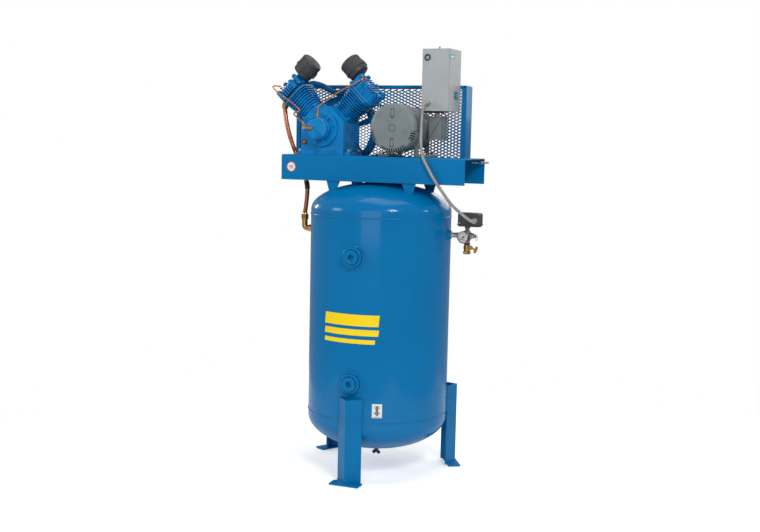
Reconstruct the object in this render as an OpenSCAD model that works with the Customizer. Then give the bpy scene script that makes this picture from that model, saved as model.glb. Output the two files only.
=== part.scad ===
// Vertical tank compressor: a free-standing air receiver with a belt-driven
// V-twin pump and its motor on a platform above it.
// Millimetres. Origin: floor level under the tank's axis. +Z up, front is -Y.

/* [Tank] */
// Outside diameter of the tank
tank_d = 609.6; // [580:1:640]
// Thickness of the tank's wall
tank_wall = 4; // [3:0.5:6]
// Height of the lower girth seam above the floor
seam_low_z = 261; // [240:1:280]
// Height of the upper girth seam above the floor
seam_high_z = 1115; // [1110:1:1116]
// Depth of the top head's dish
top_dish = 121; // [100:1:121]
// Depth of the bottom head's dish
bottom_dish = 143; // [110:1:150]
// Turn of the inlet and outlet couplings about the tank's axis, degrees
tank_turn = 4; // [0:1:8]
// Turn of the inspection ports and legs about the tank's axis
front_turn = 1; // [0:0.5:8]
// Flange width of the leg angles
leg_w = 76; // [60:1:80]
// Height of the legs' tops above the floor
leg_top_z = 362; // [340:1:372]
// Width of a foot plate
foot_w = 130; // [110:1:140]

/* [Platform] */
// Width of the platform
base_w = 840; // [830:1:900]
// Depth of the platform
base_d = 270; // [268:1:272]
// Height of the platform's edge
base_h = 109; // [100:1:112]
// Height of the platform's top above the floor
base_top_z = 1366; // [1364:1:1370]

/* [Pump] */
// Distance of the crankshaft left of the tank's axis
pump_x = 255; // [250:1:260]
// Height of the crankshaft above the platform
crank_h = 111; // [108:1:114]
// Bore of each cylinder
bore_d = 80; // [70:1:80]
// Crank throw, half the stroke
crank_throw = 35; // [30:1:35]
// Radius of the flywheel
flywheel_r = 155; // [150:1:160]

/* [Motor] */
// Distance of the motor shaft right of the tank's axis
motor_x = 96; // [94:1:110]
// Height of the motor shaft above the platform
motor_h = 121.5; // [120:0.5:124]
// Outside radius of the fan cover
fan_cover_r = 102; // [97:0.5:104]
// Radius of the motor pulley
pulley_r = 52; // [45:1:56]

/* [Belt guard] */
// Left side of the guard
guard_left = -486; // [-500:1:-470]
// Right side of the guard
guard_right = 329; // [320:1:340]
// Height of the guard's top above the floor
guard_top_z = 1676; // [1670:1:1690]
// Depth of the guard
guard_d = 78; // [76:1:90]

/* [Starter] */
// Width of the starter box from side to side
box_w = 122; // [110:1:130]
// Depth of the starter box from front to back
box_d = 146; // [130:1:146]
// Height of the starter box
box_h = 260; // [240:1:280]

/* [Hidden] */
$fn = 64;

// Tank, derived
tank_r = tank_d / 2;
top_flange = 19;
bottom_flange = 24;
leg_t = 6;
leg_corner_r = tank_r + 54.4;
foot_t = 8;
foot_in_r = tank_r + 11;
foot_out_r = tank_r + 65;
anchor_r = 333;
anchor_hole_r = 7;
port_r = 42;
port_bore_r = 31;
port_out = 22;
port_high_z = 955;
port_low_z = 425;
side_port_r = 20;
side_bore_r = 13;
side_z = 1040;
drain_z = seam_low_z - bottom_flange - bottom_dish;
fit_gap = 0.1;

// Platform, derived
base_t = 5;
base_bottom_z = base_top_z - base_h;
tube_hole = [-402, -31];
tube_hole_r = 17;
saddle_x = 174;
saddle_t = 6;
screw_x = 402;
screw_y = 118;
screw_z = 1349;
screw_r = 5;

// Pump, derived
crank_z = base_top_z + crank_h;
case_front = -76;
case_back = 98;
case_w = 202;
case_wall = 9;
deck = 95;
shoulder = 34;
bank_mid = 8;
bank_step = 11;
rod_len = 150;
bore_r = bore_d / 2;
barrel_top = 212;
plate_t = 5;
head_top = 272;
head_low = 264;
head_x = 64;
head_bolt_at = [[-52, -42], [52, -42], [-52, 42], [52, 42], [0, -50], [0, 50]];
head_port_z = 243;
head_port_y = -4;
fin_n = 8;
pin_along = crank_throw * cos(45);
wrist_along = pin_along + sqrt(rod_len * rod_len - pin_along * pin_along);
journal_r = 17;
web_r = 60;
web_t = 14;
web_gap = 22;
flywheel_y = 148;
flywheel_w = 50;
filter_along = 266;
filter_foot = 68;
filter_h = 86;
filter_r = 48;

// Motor, derived
motor_z = base_top_z + motor_h;
motor_front = -136;
motor_back = 133;
frame_r = 92;
shaft_r = 14.3;

// Guard, derived
guard_y = base_d / 2;
guard_low_z = 1300;
guard_t = 2;
guard_lip = 20;
mesh_t = 1.6;

// Starter, derived
box_x = 179;
box_y = guard_y - guard_t - box_d - 1;
box_z = 1562;
sheet = 1.6;
seam_gap = 0.05;
conduit_x = 208;
conduit_z = 1594;
fitting_r = 10.5;
power_x = 202;
power_z = 1786;
power_r = 8;
lead_x = 228;
lead_y = 53;
reset_y = 77;
reset_z = 1630;
reset_w = 26;
reset_h = 16;

// Pipework beside the tank, derived
man_x = 388;
pipe_y = 22;
arm = 18;
riser = 32;
gauge_back = -14;
switch_x = 358;
switch_y = -34;
switch_w = 98;
pin_r = 2.5;
stem_r = 4;
stem_tilt = 20;
stem_z = 996;
outlet_r = 9;
outlet_len = 20;
side_x = tank_r + 36;
inlet_r = 358;

// Flexible conduit from the starter box to the pressure switch
conduit_r = 7;
conduit_route = [
  [208, -34, 1594], [208, -48, 1593], [206, -68, 1572], [209, -90, 1520],
  [214, -104, 1478], [219, -117, 1436], [227, -130, 1400], [241, -143, 1364],
  [264, -148, 1326], [292, -147, 1280], [318, -138, 1240], [340, -122, 1204],
  [362, -106, 1172], [388, -92, 1146], [414, -84, 1124], [432, -74, 1111],
  [436, -58, 1108], [436, -42, 1108]
];
// Copper discharge tube from the left head down to the tank's inlet
discharge_r = 9.5;
discharge_route = [
  [-472, -7, 1566], [-468, -9, 1540], [-461, -13, 1511], [-444, -20, 1458],
  [-423, -27, 1410], [-405, -31, 1374], [-396, -32, 1350], [-378, -30, 1310],
  [-360, -27, 1270], [-349, -25, 1235], [-347, -25, 1200], [-351, -25, 1150],
  [-357, -25, 1108]
];
// Small copper lines from the oil pump to the two heads
line_r = 3.2;
line_a_route = [
  [-263, -102, 1546], [-263, -102, 1566], [-254, -101, 1580], [-236, -97, 1592],
  [-200, -88, 1620], [-160, -78, 1646], [-112, -63, 1673], [-90, -53, 1687],
  [-79, -45, 1694], [-74, -34, 1694]
];
line_b_route = [
  [-308, -146, 1494], [-320, -138, 1506], [-350, -116, 1520], [-380, -92, 1535],
  [-389, -84, 1541], [-384, -82, 1547], [-366, -84, 1551], [-361, -84, 1557],
  [-371, -84, 1568], [-410, -84, 1596], [-450, -82, 1620], [-490, -76, 1648],
  [-499, -72, 1658], [-492, -66, 1663], [-474, -58, 1661]
];
// Pipe that joins the two heads behind the cylinders
cross_r = 13;
cross_route = [
  [-407, 54, 1668.6], [-407, 66, 1668.8], [-403, 82, 1673], [-384, 98, 1681],
  [-340, 103, 1670], [-298, 103, 1650], [-255, 103, 1638], [-212, 103, 1650],
  [-170, 103, 1670], [-130, 103, 1680], [-112, 99, 1675], [-103, 88, 1668.8],
  [-103, 76, 1668.6]
];

// ---------- shared shapes ----------

// Catmull-Rom points through a route, n steps to each span
function along_span(a, b, c, d, t) =
  0.5 * ((2 * b) + (c - a) * t + (2 * a - 5 * b + 4 * c - d) * t * t
         + (3 * b - a - 3 * c + d) * t * t * t);
function smooth(p, n) = concat(
  [for (i = [0 : len(p) - 2]) for (j = [0 : n - 1])
    along_span(p[max(i - 1, 0)], p[i], p[i + 1], p[min(i + 2, len(p) - 1)], j / n)],
  [p[len(p) - 1]]);
function unit(v) = v / norm(v);

// Round tube swept along a route; side is a direction never along the route
module swept(route, r, sides, steps, side) {
  path = smooth(route, steps);
  last = len(path) - 1;
  rings = [for (i = [0 : last])
    let (t = unit(path[min(i + 1, last)] - path[max(i - 1, 0)]),
         u = unit(cross(t, side)),
         v = cross(t, u))
    [for (k = [0 : sides - 1])
      path[i] + r * (cos(360 * k / sides) * u + sin(360 * k / sides) * v)]];
  points = [for (ring = rings) for (p = ring) p];
  walls = [for (i = [0 : last - 1]) for (k = [0 : sides - 1])
    let (a = i * sides + k, b = i * sides + (k + 1) % sides)
    [a, a + sides, b + sides, b]];
  caps = [[for (k = [0 : sides - 1]) k],
          [for (k = [sides - 1 : -1 : 0]) last * sides + k]];
  polyhedron(points, concat(walls, caps), 4);
}

// Cylinder that runs along +Y from y0 to y1
module rod_y(r, y0, y1) {
  translate([0, y0, 0]) rotate([-90, 0, 0]) cylinder(r = r, h = y1 - y0);
}

// Cylinder that runs along +X from x0 to x1
module rod_x(r, x0, x1) {
  translate([x0, 0, 0]) rotate([0, 90, 0]) cylinder(r = r, h = x1 - x0);
}

// Ring along +Y
module ring_y(r_out, r_in, y0, y1) {
  difference() {
    rod_y(r_out, y0, y1);
    rod_y(r_in, y0 - 1, y1 + 1);
  }
}

// Rectangle with cut corners, centred
module cut_rect(w, d, c) {
  x = w / 2;
  y = d / 2;
  polygon([[-x + c, -y], [x - c, -y], [x, -y + c], [x, y - c],
           [x - c, y], [-x + c, y], [-x, y - c], [-x, -y + c]]);
}

// Hexagon nut or bolt head, across flats af, height h along +Z
module hex(af, h) {
  cylinder(r = af / sqrt(3), h = h, $fn = 6);
}

// Places the children on a bank of the V: +Z runs out along the cylinder,
// +X points to the inside of the V. side is -1 for left and 1 for right.
module bank(side) {
  translate([-pump_x, bank_mid + side * bank_step, crank_z])
    mirror([side > 0 ? 1 : 0, 0, 0]) rotate([0, -45, 0]) children();
}

module at_crank() {
  translate([-pump_x, 0, crank_z]) children();
}

module at_motor() {
  translate([motor_x, 0, motor_z]) children();
}

// ---------- tank ----------

// Half outline of a dished head with its straight flange, from the seam up
module head_outline(flange, dish, wall) {
  inner_r = tank_r - wall;
  outer = [for (a = [0 : 10 : 90]) [tank_r * cos(a), flange + dish * sin(a)]];
  inner = [for (a = [90 : -10 : 0]) [inner_r * cos(a), flange + (dish - wall) * sin(a)]];
  polygon(concat([[tank_r, 0]], outer, inner, [[inner_r, 0]]));
}

// Solid inside a head's outer face
module head_solid(flange, dish) {
  outer = [for (a = [0 : 10 : 90]) [tank_r * cos(a), flange + dish * sin(a)]];
  rotate_extrude($fn = 96) polygon(concat([[0, 0], [tank_r, 0]], outer));
}

module tank_shell() {
  color([0.0, 0.42, 0.68])
  difference() {
    translate([0, 0, seam_low_z])
      cylinder(r = tank_r, h = seam_high_z - seam_low_z, $fn = 96);
    translate([0, 0, seam_low_z - 1])
      cylinder(r = tank_r - tank_wall, h = seam_high_z - seam_low_z + 2, $fn = 96);
    rotate([0, 0, front_turn]) for (z = [port_low_z, port_high_z])
      translate([0, 0, z]) rod_y(port_r + fit_gap, -tank_r - 50, 0);
    rotate([0, 0, tank_turn]) translate([0, 0, side_z])
      rod_x(side_port_r + fit_gap, -tank_r - 50, tank_r + 50);
  }
}

module top_head() {
  color([0.0, 0.42, 0.68])
  translate([0, 0, seam_high_z])
    rotate_extrude($fn = 96) head_outline(top_flange, top_dish, tank_wall);
}

module bottom_head() {
  color([0.0, 0.42, 0.68])
  difference() {
    translate([0, 0, seam_low_z]) mirror([0, 0, 1])
      rotate_extrude($fn = 96) head_outline(bottom_flange, bottom_dish, tank_wall);
    translate([0, 0, drain_z - 20]) cylinder(r = side_port_r + fit_gap, h = 60);
  }
}

module port_coupling(z) {
  translate([0, 0, z])
    ring_y(port_r, port_bore_r, -tank_r - port_out, -tank_r + 14);
}

module tank_couplings() {
  color([0.0, 0.42, 0.68]) {
    rotate([0, 0, front_turn]) {
      port_coupling(port_low_z);
      port_coupling(port_high_z);
    }
    rotate([0, 0, tank_turn]) {
      for (m = [0, 1]) mirror([m, 0, 0]) translate([0, 0, side_z]) difference() {
        rod_x(side_port_r, tank_r - 12, tank_r + 12);
        rod_x(side_bore_r, tank_r - 13, tank_r + 13);
      }
    }
    translate([0, 0, drain_z - 10]) difference() {
      cylinder(r = side_port_r, h = 24);
      translate([0, 0, -1]) cylinder(r = 8, h = 26);
    }
  }
}

module inspection_plugs() {
  face_y = -tank_r - port_out - 6;
  socket = 22;
  color([0.0, 0.44, 0.70]) rotate([0, 0, front_turn])
  for (z = [port_low_z, port_high_z]) translate([0, 0, z]) difference() {
    rod_y(port_bore_r - fit_gap, face_y, face_y + 34);
    translate([0, face_y, 0]) rotate([0, 25, 0])
      cube([socket, 28, socket], center = true);
  }
}

// Outline of a leg angle with its corner pointing along -Y
module angle_outline() {
  c = cos(45);
  t = leg_t * sqrt(2);
  polygon([[0, 0], [leg_w * c, leg_w * c], [leg_w * c - leg_t * c, leg_w * c + leg_t * c],
           [0, t], [-leg_w * c + leg_t * c, leg_w * c + leg_t * c], [-leg_w * c, leg_w * c]]);
}

module tank_legs() {
  color([0.0, 0.40, 0.65])
  for (k = [0 : 2]) rotate([0, 0, front_turn + 120 * k]) difference() {
    union() {
      translate([0, -leg_corner_r, foot_t - 1])
        linear_extrude(leg_top_z - foot_t + 1) angle_outline();
      translate([-foot_w / 2, -foot_out_r, 0])
        cube([foot_w, foot_out_r - foot_in_r, foot_t]);
    }
    translate([0, -anchor_r, -1]) cylinder(r = anchor_hole_r, h = foot_t + 2);
  }
}

module drain_valve_body() {
  color("dimgray") translate([0, 0, drain_z - 10]) difference() {
    union() {
      translate([0, 0, -18]) cylinder(r = 9, h = 18);
      translate([0, 0, -2]) cylinder(r = 7.8, h = 16);
    }
    translate([0, 0, -19]) cylinder(r = 4, h = 44);
  }
}

module drain_valve_wings() {
  color("black") translate([0, 0, drain_z - 28.4]) {
    translate([0, 0, -8]) cylinder(r = 9, h = 8);
    for (s = [-1, 1]) translate([s * 11, 0, -8.6]) rod_y(8, -3, 3);
    cylinder(r = 3.9, h = 12);
  }
}

module tank_saddles() {
  low = base_bottom_z - 62;
  high = base_bottom_z + 30;
  color([0.0, 0.42, 0.68]) difference() {
    for (sx = [-1, 1]) for (y = [-base_d / 2 + base_t, base_d / 2 - base_t - saddle_t])
      translate([sx * saddle_x, y + saddle_t, 0]) rotate([90, 0, 0]) linear_extrude(saddle_t)
        polygon([[-16, low], [16, low], [31, base_bottom_z], [31, high],
                 [-31, high], [-31, base_bottom_z]]);
    translate([0, 0, seam_high_z]) head_solid(top_flange, top_dish + fit_gap);
  }
}

// ---------- platform ----------

module base_pan() {
  x = base_w / 2;
  y = base_d / 2;
  lug_t = 6;
  color([0.0, 0.42, 0.66]) difference() {
    union() {
      difference() {
        translate([-x, -y, base_bottom_z]) cube([base_w, base_d, base_h]);
        translate([-x - 1, -y + base_t, base_bottom_z - 1])
          cube([base_w + 2, base_d - 2 * base_t, base_h - base_t + 1]);
      }
      translate([screw_x, screw_y - 11, screw_z - 12])
        cube([lug_t, y - base_t - screw_y + 12, base_top_z - base_t - screw_z + 13]);
    }
    translate([tube_hole[0], tube_hole[1], base_top_z - 20]) cylinder(r = tube_hole_r, h = 40);
    translate([0, screw_y, screw_z]) rod_x(screw_r + fit_gap, screw_x - 1, screw_x + lug_t + 1);
  }
}

// ---------- pump ----------

module case_outline(g) {
  x = case_w / 2 - g;
  s = deck * sqrt(2) - x - g * sqrt(2);
  polygon([[-x, -crank_h + g], [x, -crank_h + g], [x, s], [s, x], [-s, x], [-x, s]]);
}

module crankcase() {
  color([0.02, 0.44, 0.72])
  difference() {
    union() {
      at_crank() translate([0, case_back, 0]) rotate([90, 0, 0])
        linear_extrude(case_back - case_front) case_outline(0);
      at_crank() translate([0, 0, -crank_h]) linear_extrude(14)
        translate([0, (case_front + case_back) / 2]) square([254, 150], center = true);
      at_crank() rod_y(48, case_back - 1, case_back + 22);
    }
    at_crank() translate([0, case_back - case_wall, 0]) rotate([90, 0, 0])
      linear_extrude(case_back - case_front - 2 * case_wall) case_outline(case_wall);
    at_crank() rod_y(62, case_front - 1, case_front + case_wall + 1);
    at_crank() rod_y(31, case_back - case_wall - 1, case_back + 23);
    for (s = [-1, 1]) bank(s) cylinder(r = 44.2, h = deck + 30);
    for (x = [-1, 1]) for (y = [-46, 68])
      translate([-pump_x + x * 116, y, base_top_z - 1]) cylinder(r = 7, h = 20);
  }
}

module front_cover() {
  color([0.02, 0.46, 0.74]) at_crank() difference() {
    union() {
      rod_y(75, case_front - 12, case_front);
      rod_y(61.8, case_front - 1, case_front + 8);
      rod_y(51, case_front - 40, case_front - 11);
      translate([-8, -102, 44]) cylinder(r = 9, h = 8);
    }
    rod_y(31, case_front - 30, case_front + 9);
    rod_y(20, case_front - 41, case_front - 29);
  }
}

module oil_pump_housing() {
  color([0.02, 0.46, 0.74]) at_crank() difference() {
    rod_y(47, case_front - 60, case_front - 40);
    rod_y(19, case_front - 50, case_front - 39);
  }
}

module ball_bearings() {
  color("silver") {
    at_crank() {
      ring_y(30.9, journal_r + 0.05, case_front - 20, case_front);
      ring_y(30.9, journal_r + 0.05, case_back, case_back + 20);
    }
    at_motor() {
      ring_y(30.9, shaft_r + 0.05, -88, -72);
      ring_y(30.9, shaft_r + 0.05, 112, 128);
    }
  }
}

// Shaft with its two round webs; the crank pins ride with the rods
module crankshaft() {
  color("gray") at_crank() {
    rod_y(journal_r, case_front - 24, bank_mid - web_gap);
    rod_y(journal_r, bank_mid + web_gap, 200);
    rod_y(web_r, bank_mid - web_gap - web_t, bank_mid - web_gap);
    rod_y(web_r, bank_mid + web_gap, bank_mid + web_gap + web_t);
  }
}

module groove(r, y) {
  translate([0, y, 0]) rotate([-90, 0, 0]) rotate_extrude($fn = 96)
    polygon([[r - 11, -4], [r + 1, -7.4], [r + 1, 7.4], [r - 11, 4]]);
}

module flywheel() {
  color([0.02, 0.42, 0.68]) at_crank() difference() {
    union() {
      difference() {
        rod_y(flywheel_r, flywheel_y, flywheel_y + flywheel_w);
        rod_y(flywheel_r - 24, flywheel_y - 1, flywheel_y + flywheel_w + 1);
      }
      rod_y(34, flywheel_y, flywheel_y + flywheel_w);
      for (k = [0 : 4]) rotate([0, 72 * k + 20, 0])
        translate([-13, flywheel_y + 14, 30]) cube([26, 22, flywheel_r - 50]);
    }
    rod_y(journal_r, flywheel_y - 1, flywheel_y + flywheel_w + 1);
    for (y = belt_y) groove(flywheel_r, y);
  }
}

belt_y = [flywheel_y + 15, flywheel_y + 35];

module cylinder_body(side) {
  color([0.03, 0.47, 0.74]) bank(side) difference() {
    union() {
      translate([0, 0, deck - 8]) cylinder(r = 44, h = 10);
      translate([0, 0, deck]) linear_extrude(9) cut_rect(95, 108, 8);
      translate([0, 0, deck + 8]) cylinder(r = 47, h = barrel_top - deck - 8);
      for (i = [0 : fin_n - 1]) translate([0, 0, deck + 16 + i * 12])
        linear_extrude(4) cut_rect(98 + 3.4 * i, 110 + 2 * i, 22);
      translate([0, 0, barrel_top - 8]) linear_extrude(8) cut_rect(126, 126, 18);
    }
    translate([0, 0, deck - 9]) cylinder(r = bore_r, h = barrel_top - deck + 10);
  }
}

module left_cylinder() {
  cylinder_body(-1);
}

module right_cylinder() {
  cylinder_body(1);
}

module valve_plates() {
  color("dimgray")
  for (s = [-1, 1]) bank(s) translate([0, 0, barrel_top]) difference() {
    linear_extrude(plate_t) cut_rect(124, 124, 18);
    for (x = [-20, 20]) translate([x, 0, -1]) cylinder(r = 9, h = plate_t + 2);
  }
}

// Head casting with fins on its faces and a chamber on each side
module head_casting(side) {
  z0 = barrel_top + plate_t;
  color([0.03, 0.47, 0.74]) bank(side) difference() {
    union() {
      translate([0, 0, z0]) linear_extrude(10) cut_rect(2 * head_x + 12, 128, 16);
      translate([0, 0, z0 + 9]) linear_extrude(head_low - z0 - 9) cut_rect(2 * head_x, 112, 12);
      for (x = [-36 : 12 : 36]) translate([x - 2, -61, z0 + 9])
        cube([4, 122, head_top - z0 - 9]);
      for (at = head_bolt_at)
        translate([at[0], at[1], z0 + 9]) cylinder(r = 10.5, h = head_top - z0 - 9);
      translate([25, -52, z0 + 9]) cylinder(r = 8, h = head_top - z0 - 9);
      translate([0, head_port_y, filter_along]) rod_x(13, 50, filter_foot + 2);
    }
    for (x = [-28, 28]) translate([x, 0, z0 - 1])
      linear_extrude(head_low - z0 - 6) square([40, 84], center = true);
    translate([0, head_port_y, filter_along]) rod_x(7, 28, filter_foot + 3);
    if (side < 0) translate([0, head_port_y, head_port_z]) {
      rod_x(9 + fit_gap, -80, -30);
      rod_x(27, -80, -57);
    }
    translate([28, 0, head_port_z]) rod_y(9, 20, 80);
    translate([28, 0, head_port_z]) rod_y(cross_r + 1.5, 54, 80);
  }
}

module left_head() {
  head_casting(-1);
}

module right_head() {
  head_casting(1);
}

module head_bolts() {
  color("steelblue")
  for (s = [-1, 1]) bank(s) for (at = head_bolt_at)
    translate([at[0], at[1], head_top]) hex(15, 8);
}

// Piston with ring grooves, hollow below its crown, with the wrist pin in it
module piston_body(side) {
  r = bore_r - 0.06;
  crown = wrist_along + 25;
  color("silver") bank(side) {
    difference() {
      translate([0, 0, wrist_along - 24]) cylinder(r = r, h = 49);
      translate([0, 0, wrist_along - 25]) cylinder(r = r - 6, h = 42);
      for (k = [0 : 2]) translate([0, 0, crown - 8 - k * 6]) difference() {
        cylinder(r = r + 1, h = 2.2);
        translate([0, 0, -1]) cylinder(r = r - 1.6, h = 5);
      }
    }
    translate([0, 0, wrist_along]) rod_y(8, -r + 5.5, r - 5.5);
  }
}

module left_piston() {
  piston_body(-1);
}

module right_piston() {
  piston_body(1);
}

// Connecting rod with its own half of the crank pin in the big end.
// The pin half is free of the crank's webs.
module rod_body(side) {
  half = 9.4;
  tilt = asin(pin_along / rod_len);
  color("gray") bank(side) difference() {
    translate([pin_along, 0, pin_along]) rotate([0, -tilt, 0]) {
      rod_y(24, -half, half);
      translate([-9, -6, 20]) cube([18, 12, rod_len - 28]);
      translate([0, 0, rod_len]) rod_y(14, -half, half);
    }
    translate([0, 0, wrist_along]) rod_y(8, -half - 1, half + 1);
  }
}

module left_connecting_rod() {
  rod_body(-1);
}

module right_connecting_rod() {
  rod_body(1);
}

module at_filter(side) {
  bank(side) translate([filter_foot, head_port_y, filter_along]) rotate([0, 90, 0]) children();
}

module intake_filters() {
  color([0.27, 0.28, 0.30])
  for (s = [-1, 1]) at_filter(s) difference() {
    union() {
      translate([0, 0, 2.2]) cylinder(r = 11, h = 4);
      translate([0, 0, 5]) cylinder(r = filter_r - 3, h = 15);
      translate([0, 0, 18]) cylinder(r = filter_r + 2, h = 10);
      translate([0, 0, 27]) cylinder(r = filter_r, h = filter_h - 27);
    }
    translate([0, 0, 2]) cylinder(r = 7, h = 8);
    translate([0, 0, 8]) cylinder(r = filter_r - 6, h = filter_h - 12);
  }
}

module filter_elements() {
  color("wheat")
  for (s = [-1, 1]) at_filter(s) translate([0, 0, 9]) difference() {
    cylinder(r = filter_r - 10, h = filter_h - 14);
    translate([0, 0, -1]) cylinder(r = 16, h = filter_h);
  }
}

module crossover_tube() {
  color([0.02, 0.44, 0.72]) swept(cross_route, cross_r, 12, 2, [0, 0.3, 1]);
}

module sight_glass() {
  color("silver") translate([-pump_x - 84, case_front - 7, crank_z - 56])
    rotate([-90, 0, 0]) cylinder(r = 10, h = 7);
}

module unloader_tubes() {
  color([0.72, 0.42, 0.25]) {
    swept(line_a_route, line_r, 8, 3, [0.2, 1, 0.1]);
    swept(line_b_route, line_r, 8, 3, [0.1, 1, -0.2]);
  }
}

// ---------- motor ----------

module motor_frame() {
  color([0.48, 0.52, 0.53]) at_motor() difference() {
    ring_y(frame_r, frame_r - 4, -70, 110);
    translate([0, 53, 0]) rod_x(16, 60, 120);
  }
}

module motor_end_bells() {
  color([0.45, 0.49, 0.50]) at_motor() {
    difference() {
      union() {
        rod_y(frame_r, -82, -70);
        rod_y(40, -92, -81);
      }
      rod_y(31, -90, -71.9);
      rod_y(shaft_r + 2, -93, -69);
      rod_y(31, -72, -69);
    }
    difference() {
      union() {
        rod_y(frame_r, 110, 124);
        rod_y(42, 123, motor_back);
      }
      rod_y(31, 109, 128.1);
      rod_y(shaft_r + 2, 109, motor_back + 1);
    }
  }
}

module fan_cover() {
  slot_r = fan_cover_r - 14;
  color([0.48, 0.52, 0.53]) at_motor() difference() {
    rod_y(fan_cover_r, motor_front, -54);
    rod_y(fan_cover_r - 2.5, motor_front + 2.5, -62);
    rod_y(frame_r + fit_gap, -63, -53);
    for (k = [0 : 23]) rotate([0, 15 * k, 0])
      translate([-4, motor_front - 1, slot_r - 8]) cube([8, 5, 18]);
  }
}

module stator() {
  color([0.45, 0.3, 0.2]) at_motor() ring_y(frame_r - 4, 52, -40, 88);
}

module rotor_shaft() {
  color("gray") at_motor() {
    rod_y(51.4, -40, 88);
    rod_y(shaft_r, -120, 200);
  }
}

module cooling_fan() {
  color([0.2, 0.2, 0.2]) at_motor() difference() {
    union() {
      rod_y(26, -118, -98);
      rod_y(78, -101, -98);
      for (k = [0 : 8]) rotate([0, 40 * k, 0]) translate([-1.5, -118, 20]) cube([3, 18, 58]);
    }
    rod_y(shaft_r, -119, -97);
  }
}

module motor_feet() {
  color([0.45, 0.49, 0.50])
  difference() {
    union() {
      for (s = [-1, 1]) translate([motor_x + s * 82 - 27, -26, base_top_z])
        cube([54, 158, 10]);
      for (s = [-1, 1]) for (y = [-20, 112]) translate([motor_x + s * 64 - 9, y, base_top_z + 9])
        cube([18, 14, 62]);
    }
    at_motor() rod_y(frame_r + 0.05, -80, 140);
    for (s = [-1, 1]) for (y = [-8, 114])
      translate([motor_x + s * 95, y, base_top_z - 1]) cylinder(r = 5.6, h = 12);
  }
}

module junction_box() {
  x = 198;
  z = 1442;
  w = 62;
  d = 58;
  h = 98;
  color([0.50, 0.54, 0.55]) {
    difference() {
      translate([x, 24, z]) cube([w, d, h]);
      translate([x + 3, 27, z + 3]) cube([w - 2, d - 6, h - 6]);
      translate([x - 1, 53, motor_z]) rod_x(14, 0, 5);
      translate([lead_x, lead_y, z + h - 4]) cylinder(r = fitting_r, h = 6);
    }
    translate([x + w, 22, z - 2]) cube([3, d + 4, h + 4]);
    difference() {
      translate([0, 53, motor_z]) rod_x(15.9, motor_x + frame_r - 2, x);
      translate([0, 53, motor_z]) rod_x(13, motor_x + 60, x + 1);
    }
  }
}

module motor_pulley() {
  color([0.25, 0.26, 0.28]) at_motor() difference() {
    rod_y(pulley_r, flywheel_y, flywheel_y + flywheel_w);
    rod_y(shaft_r, flywheel_y - 1, flywheel_y + flywheel_w + 1);
    for (y = belt_y) groove(pulley_r, y);
  }
}

// Outline round both wheels at a radius offset g from their rims
module belt_outline(g) {
  big = flywheel_r + g;
  small = pulley_r + g;
  dx = motor_x + pump_x;
  dz = motor_z - crank_z;
  gap = norm([dx, dz]);
  lean = atan2(dz, dx);
  open = acos((big - small) / gap);
  sweep = 360 - 2 * open;
  rotate([0, 0, lean]) polygon(concat(
    [for (k = [0 : 60]) big * [cos(open + sweep * k / 60), sin(open + sweep * k / 60)]],
    [for (k = [0 : 20]) [gap, 0] + small * [cos(open * (k / 10 - 1)), sin(open * (k / 10 - 1))]]));
}

module v_belts() {
  color([0.1, 0.1, 0.1]) at_crank()
  for (y = belt_y) translate([0, y + 4, 0]) rotate([90, 0, 0]) linear_extrude(8)
    difference() {
      belt_outline(0.6);
      belt_outline(-4.4);
    }
}

// ---------- belt guard ----------

module guard_frame() {
  w = guard_right - guard_left;
  h = guard_top_z - guard_low_z;
  color([0.02, 0.44, 0.70])
  difference() {
    translate([guard_left, guard_y, guard_low_z]) cube([w, guard_d, h]);
    translate([guard_left + guard_t, guard_y + guard_t, guard_low_z + guard_t])
      cube([w - 2 * guard_t, guard_d - 2 * guard_t, h - 2 * guard_t]);
    translate([guard_left + guard_lip, guard_y - 1, guard_low_z + guard_lip])
      cube([w - 2 * guard_lip, guard_d + 2, h - 2 * guard_lip]);
  }
}

// Flat panel of diamond mesh in XY, with openings for the shafts
module mesh_panel(open_shafts) {
  w = guard_right - guard_left - 2 * guard_t - 1;
  h = guard_top_z - guard_low_z - 2 * guard_t - 1;
  px = 90;
  py = 38;
  linear_extrude(mesh_t) difference() {
    square([w, h]);
    for (i = [0 : 8]) for (j = [0 : 17])
      let (x = 46 + px * (i + (j % 2) / 2), y = 28 + py / 2 * j)
      if (x < w - 40 && y < h - 20)
        translate([x, y]) polygon([[-px / 2 + 8, 0], [0, -py / 2 + 4], [px / 2 - 8, 0], [0, py / 2 - 4]]);
    if (open_shafts) {
      translate([-pump_x - guard_left, crank_z - guard_low_z]) circle(r = 56);
      translate([motor_x - guard_left, motor_z - guard_low_z]) circle(r = 50);
    }
  }
}

module guard_mesh() {
  color([0.02, 0.44, 0.70])
  for (y = [guard_y + guard_t + mesh_t, guard_y + guard_d - guard_t])
    translate([guard_left + guard_t + 0.5, y, guard_low_z + guard_t + 0.5])
      rotate([90, 0, 0]) mesh_panel(y < guard_y + 10);
}

// Bolts of the pump and the motor, and the belt-tension screw with its nut
module mounting_bolts() {
  color("silver") {
    for (x = [-1, 1]) for (y = [-46, 68])
      translate([-pump_x + x * 116, y, base_top_z + 14]) hex(19, 12);
    for (s = [-1, 1]) for (y = [-8, 114])
      translate([motor_x + s * 95, y, base_top_z + 10]) hex(16, 10);
    translate([0, screw_y, screw_z]) {
      rod_x(screw_r, screw_x - 34, screw_x + 40);
      translate([screw_x + 6, 0, 0]) rotate([0, 90, 0]) hex(16, 8);
    }
  }
}

// ---------- starter ----------

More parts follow.
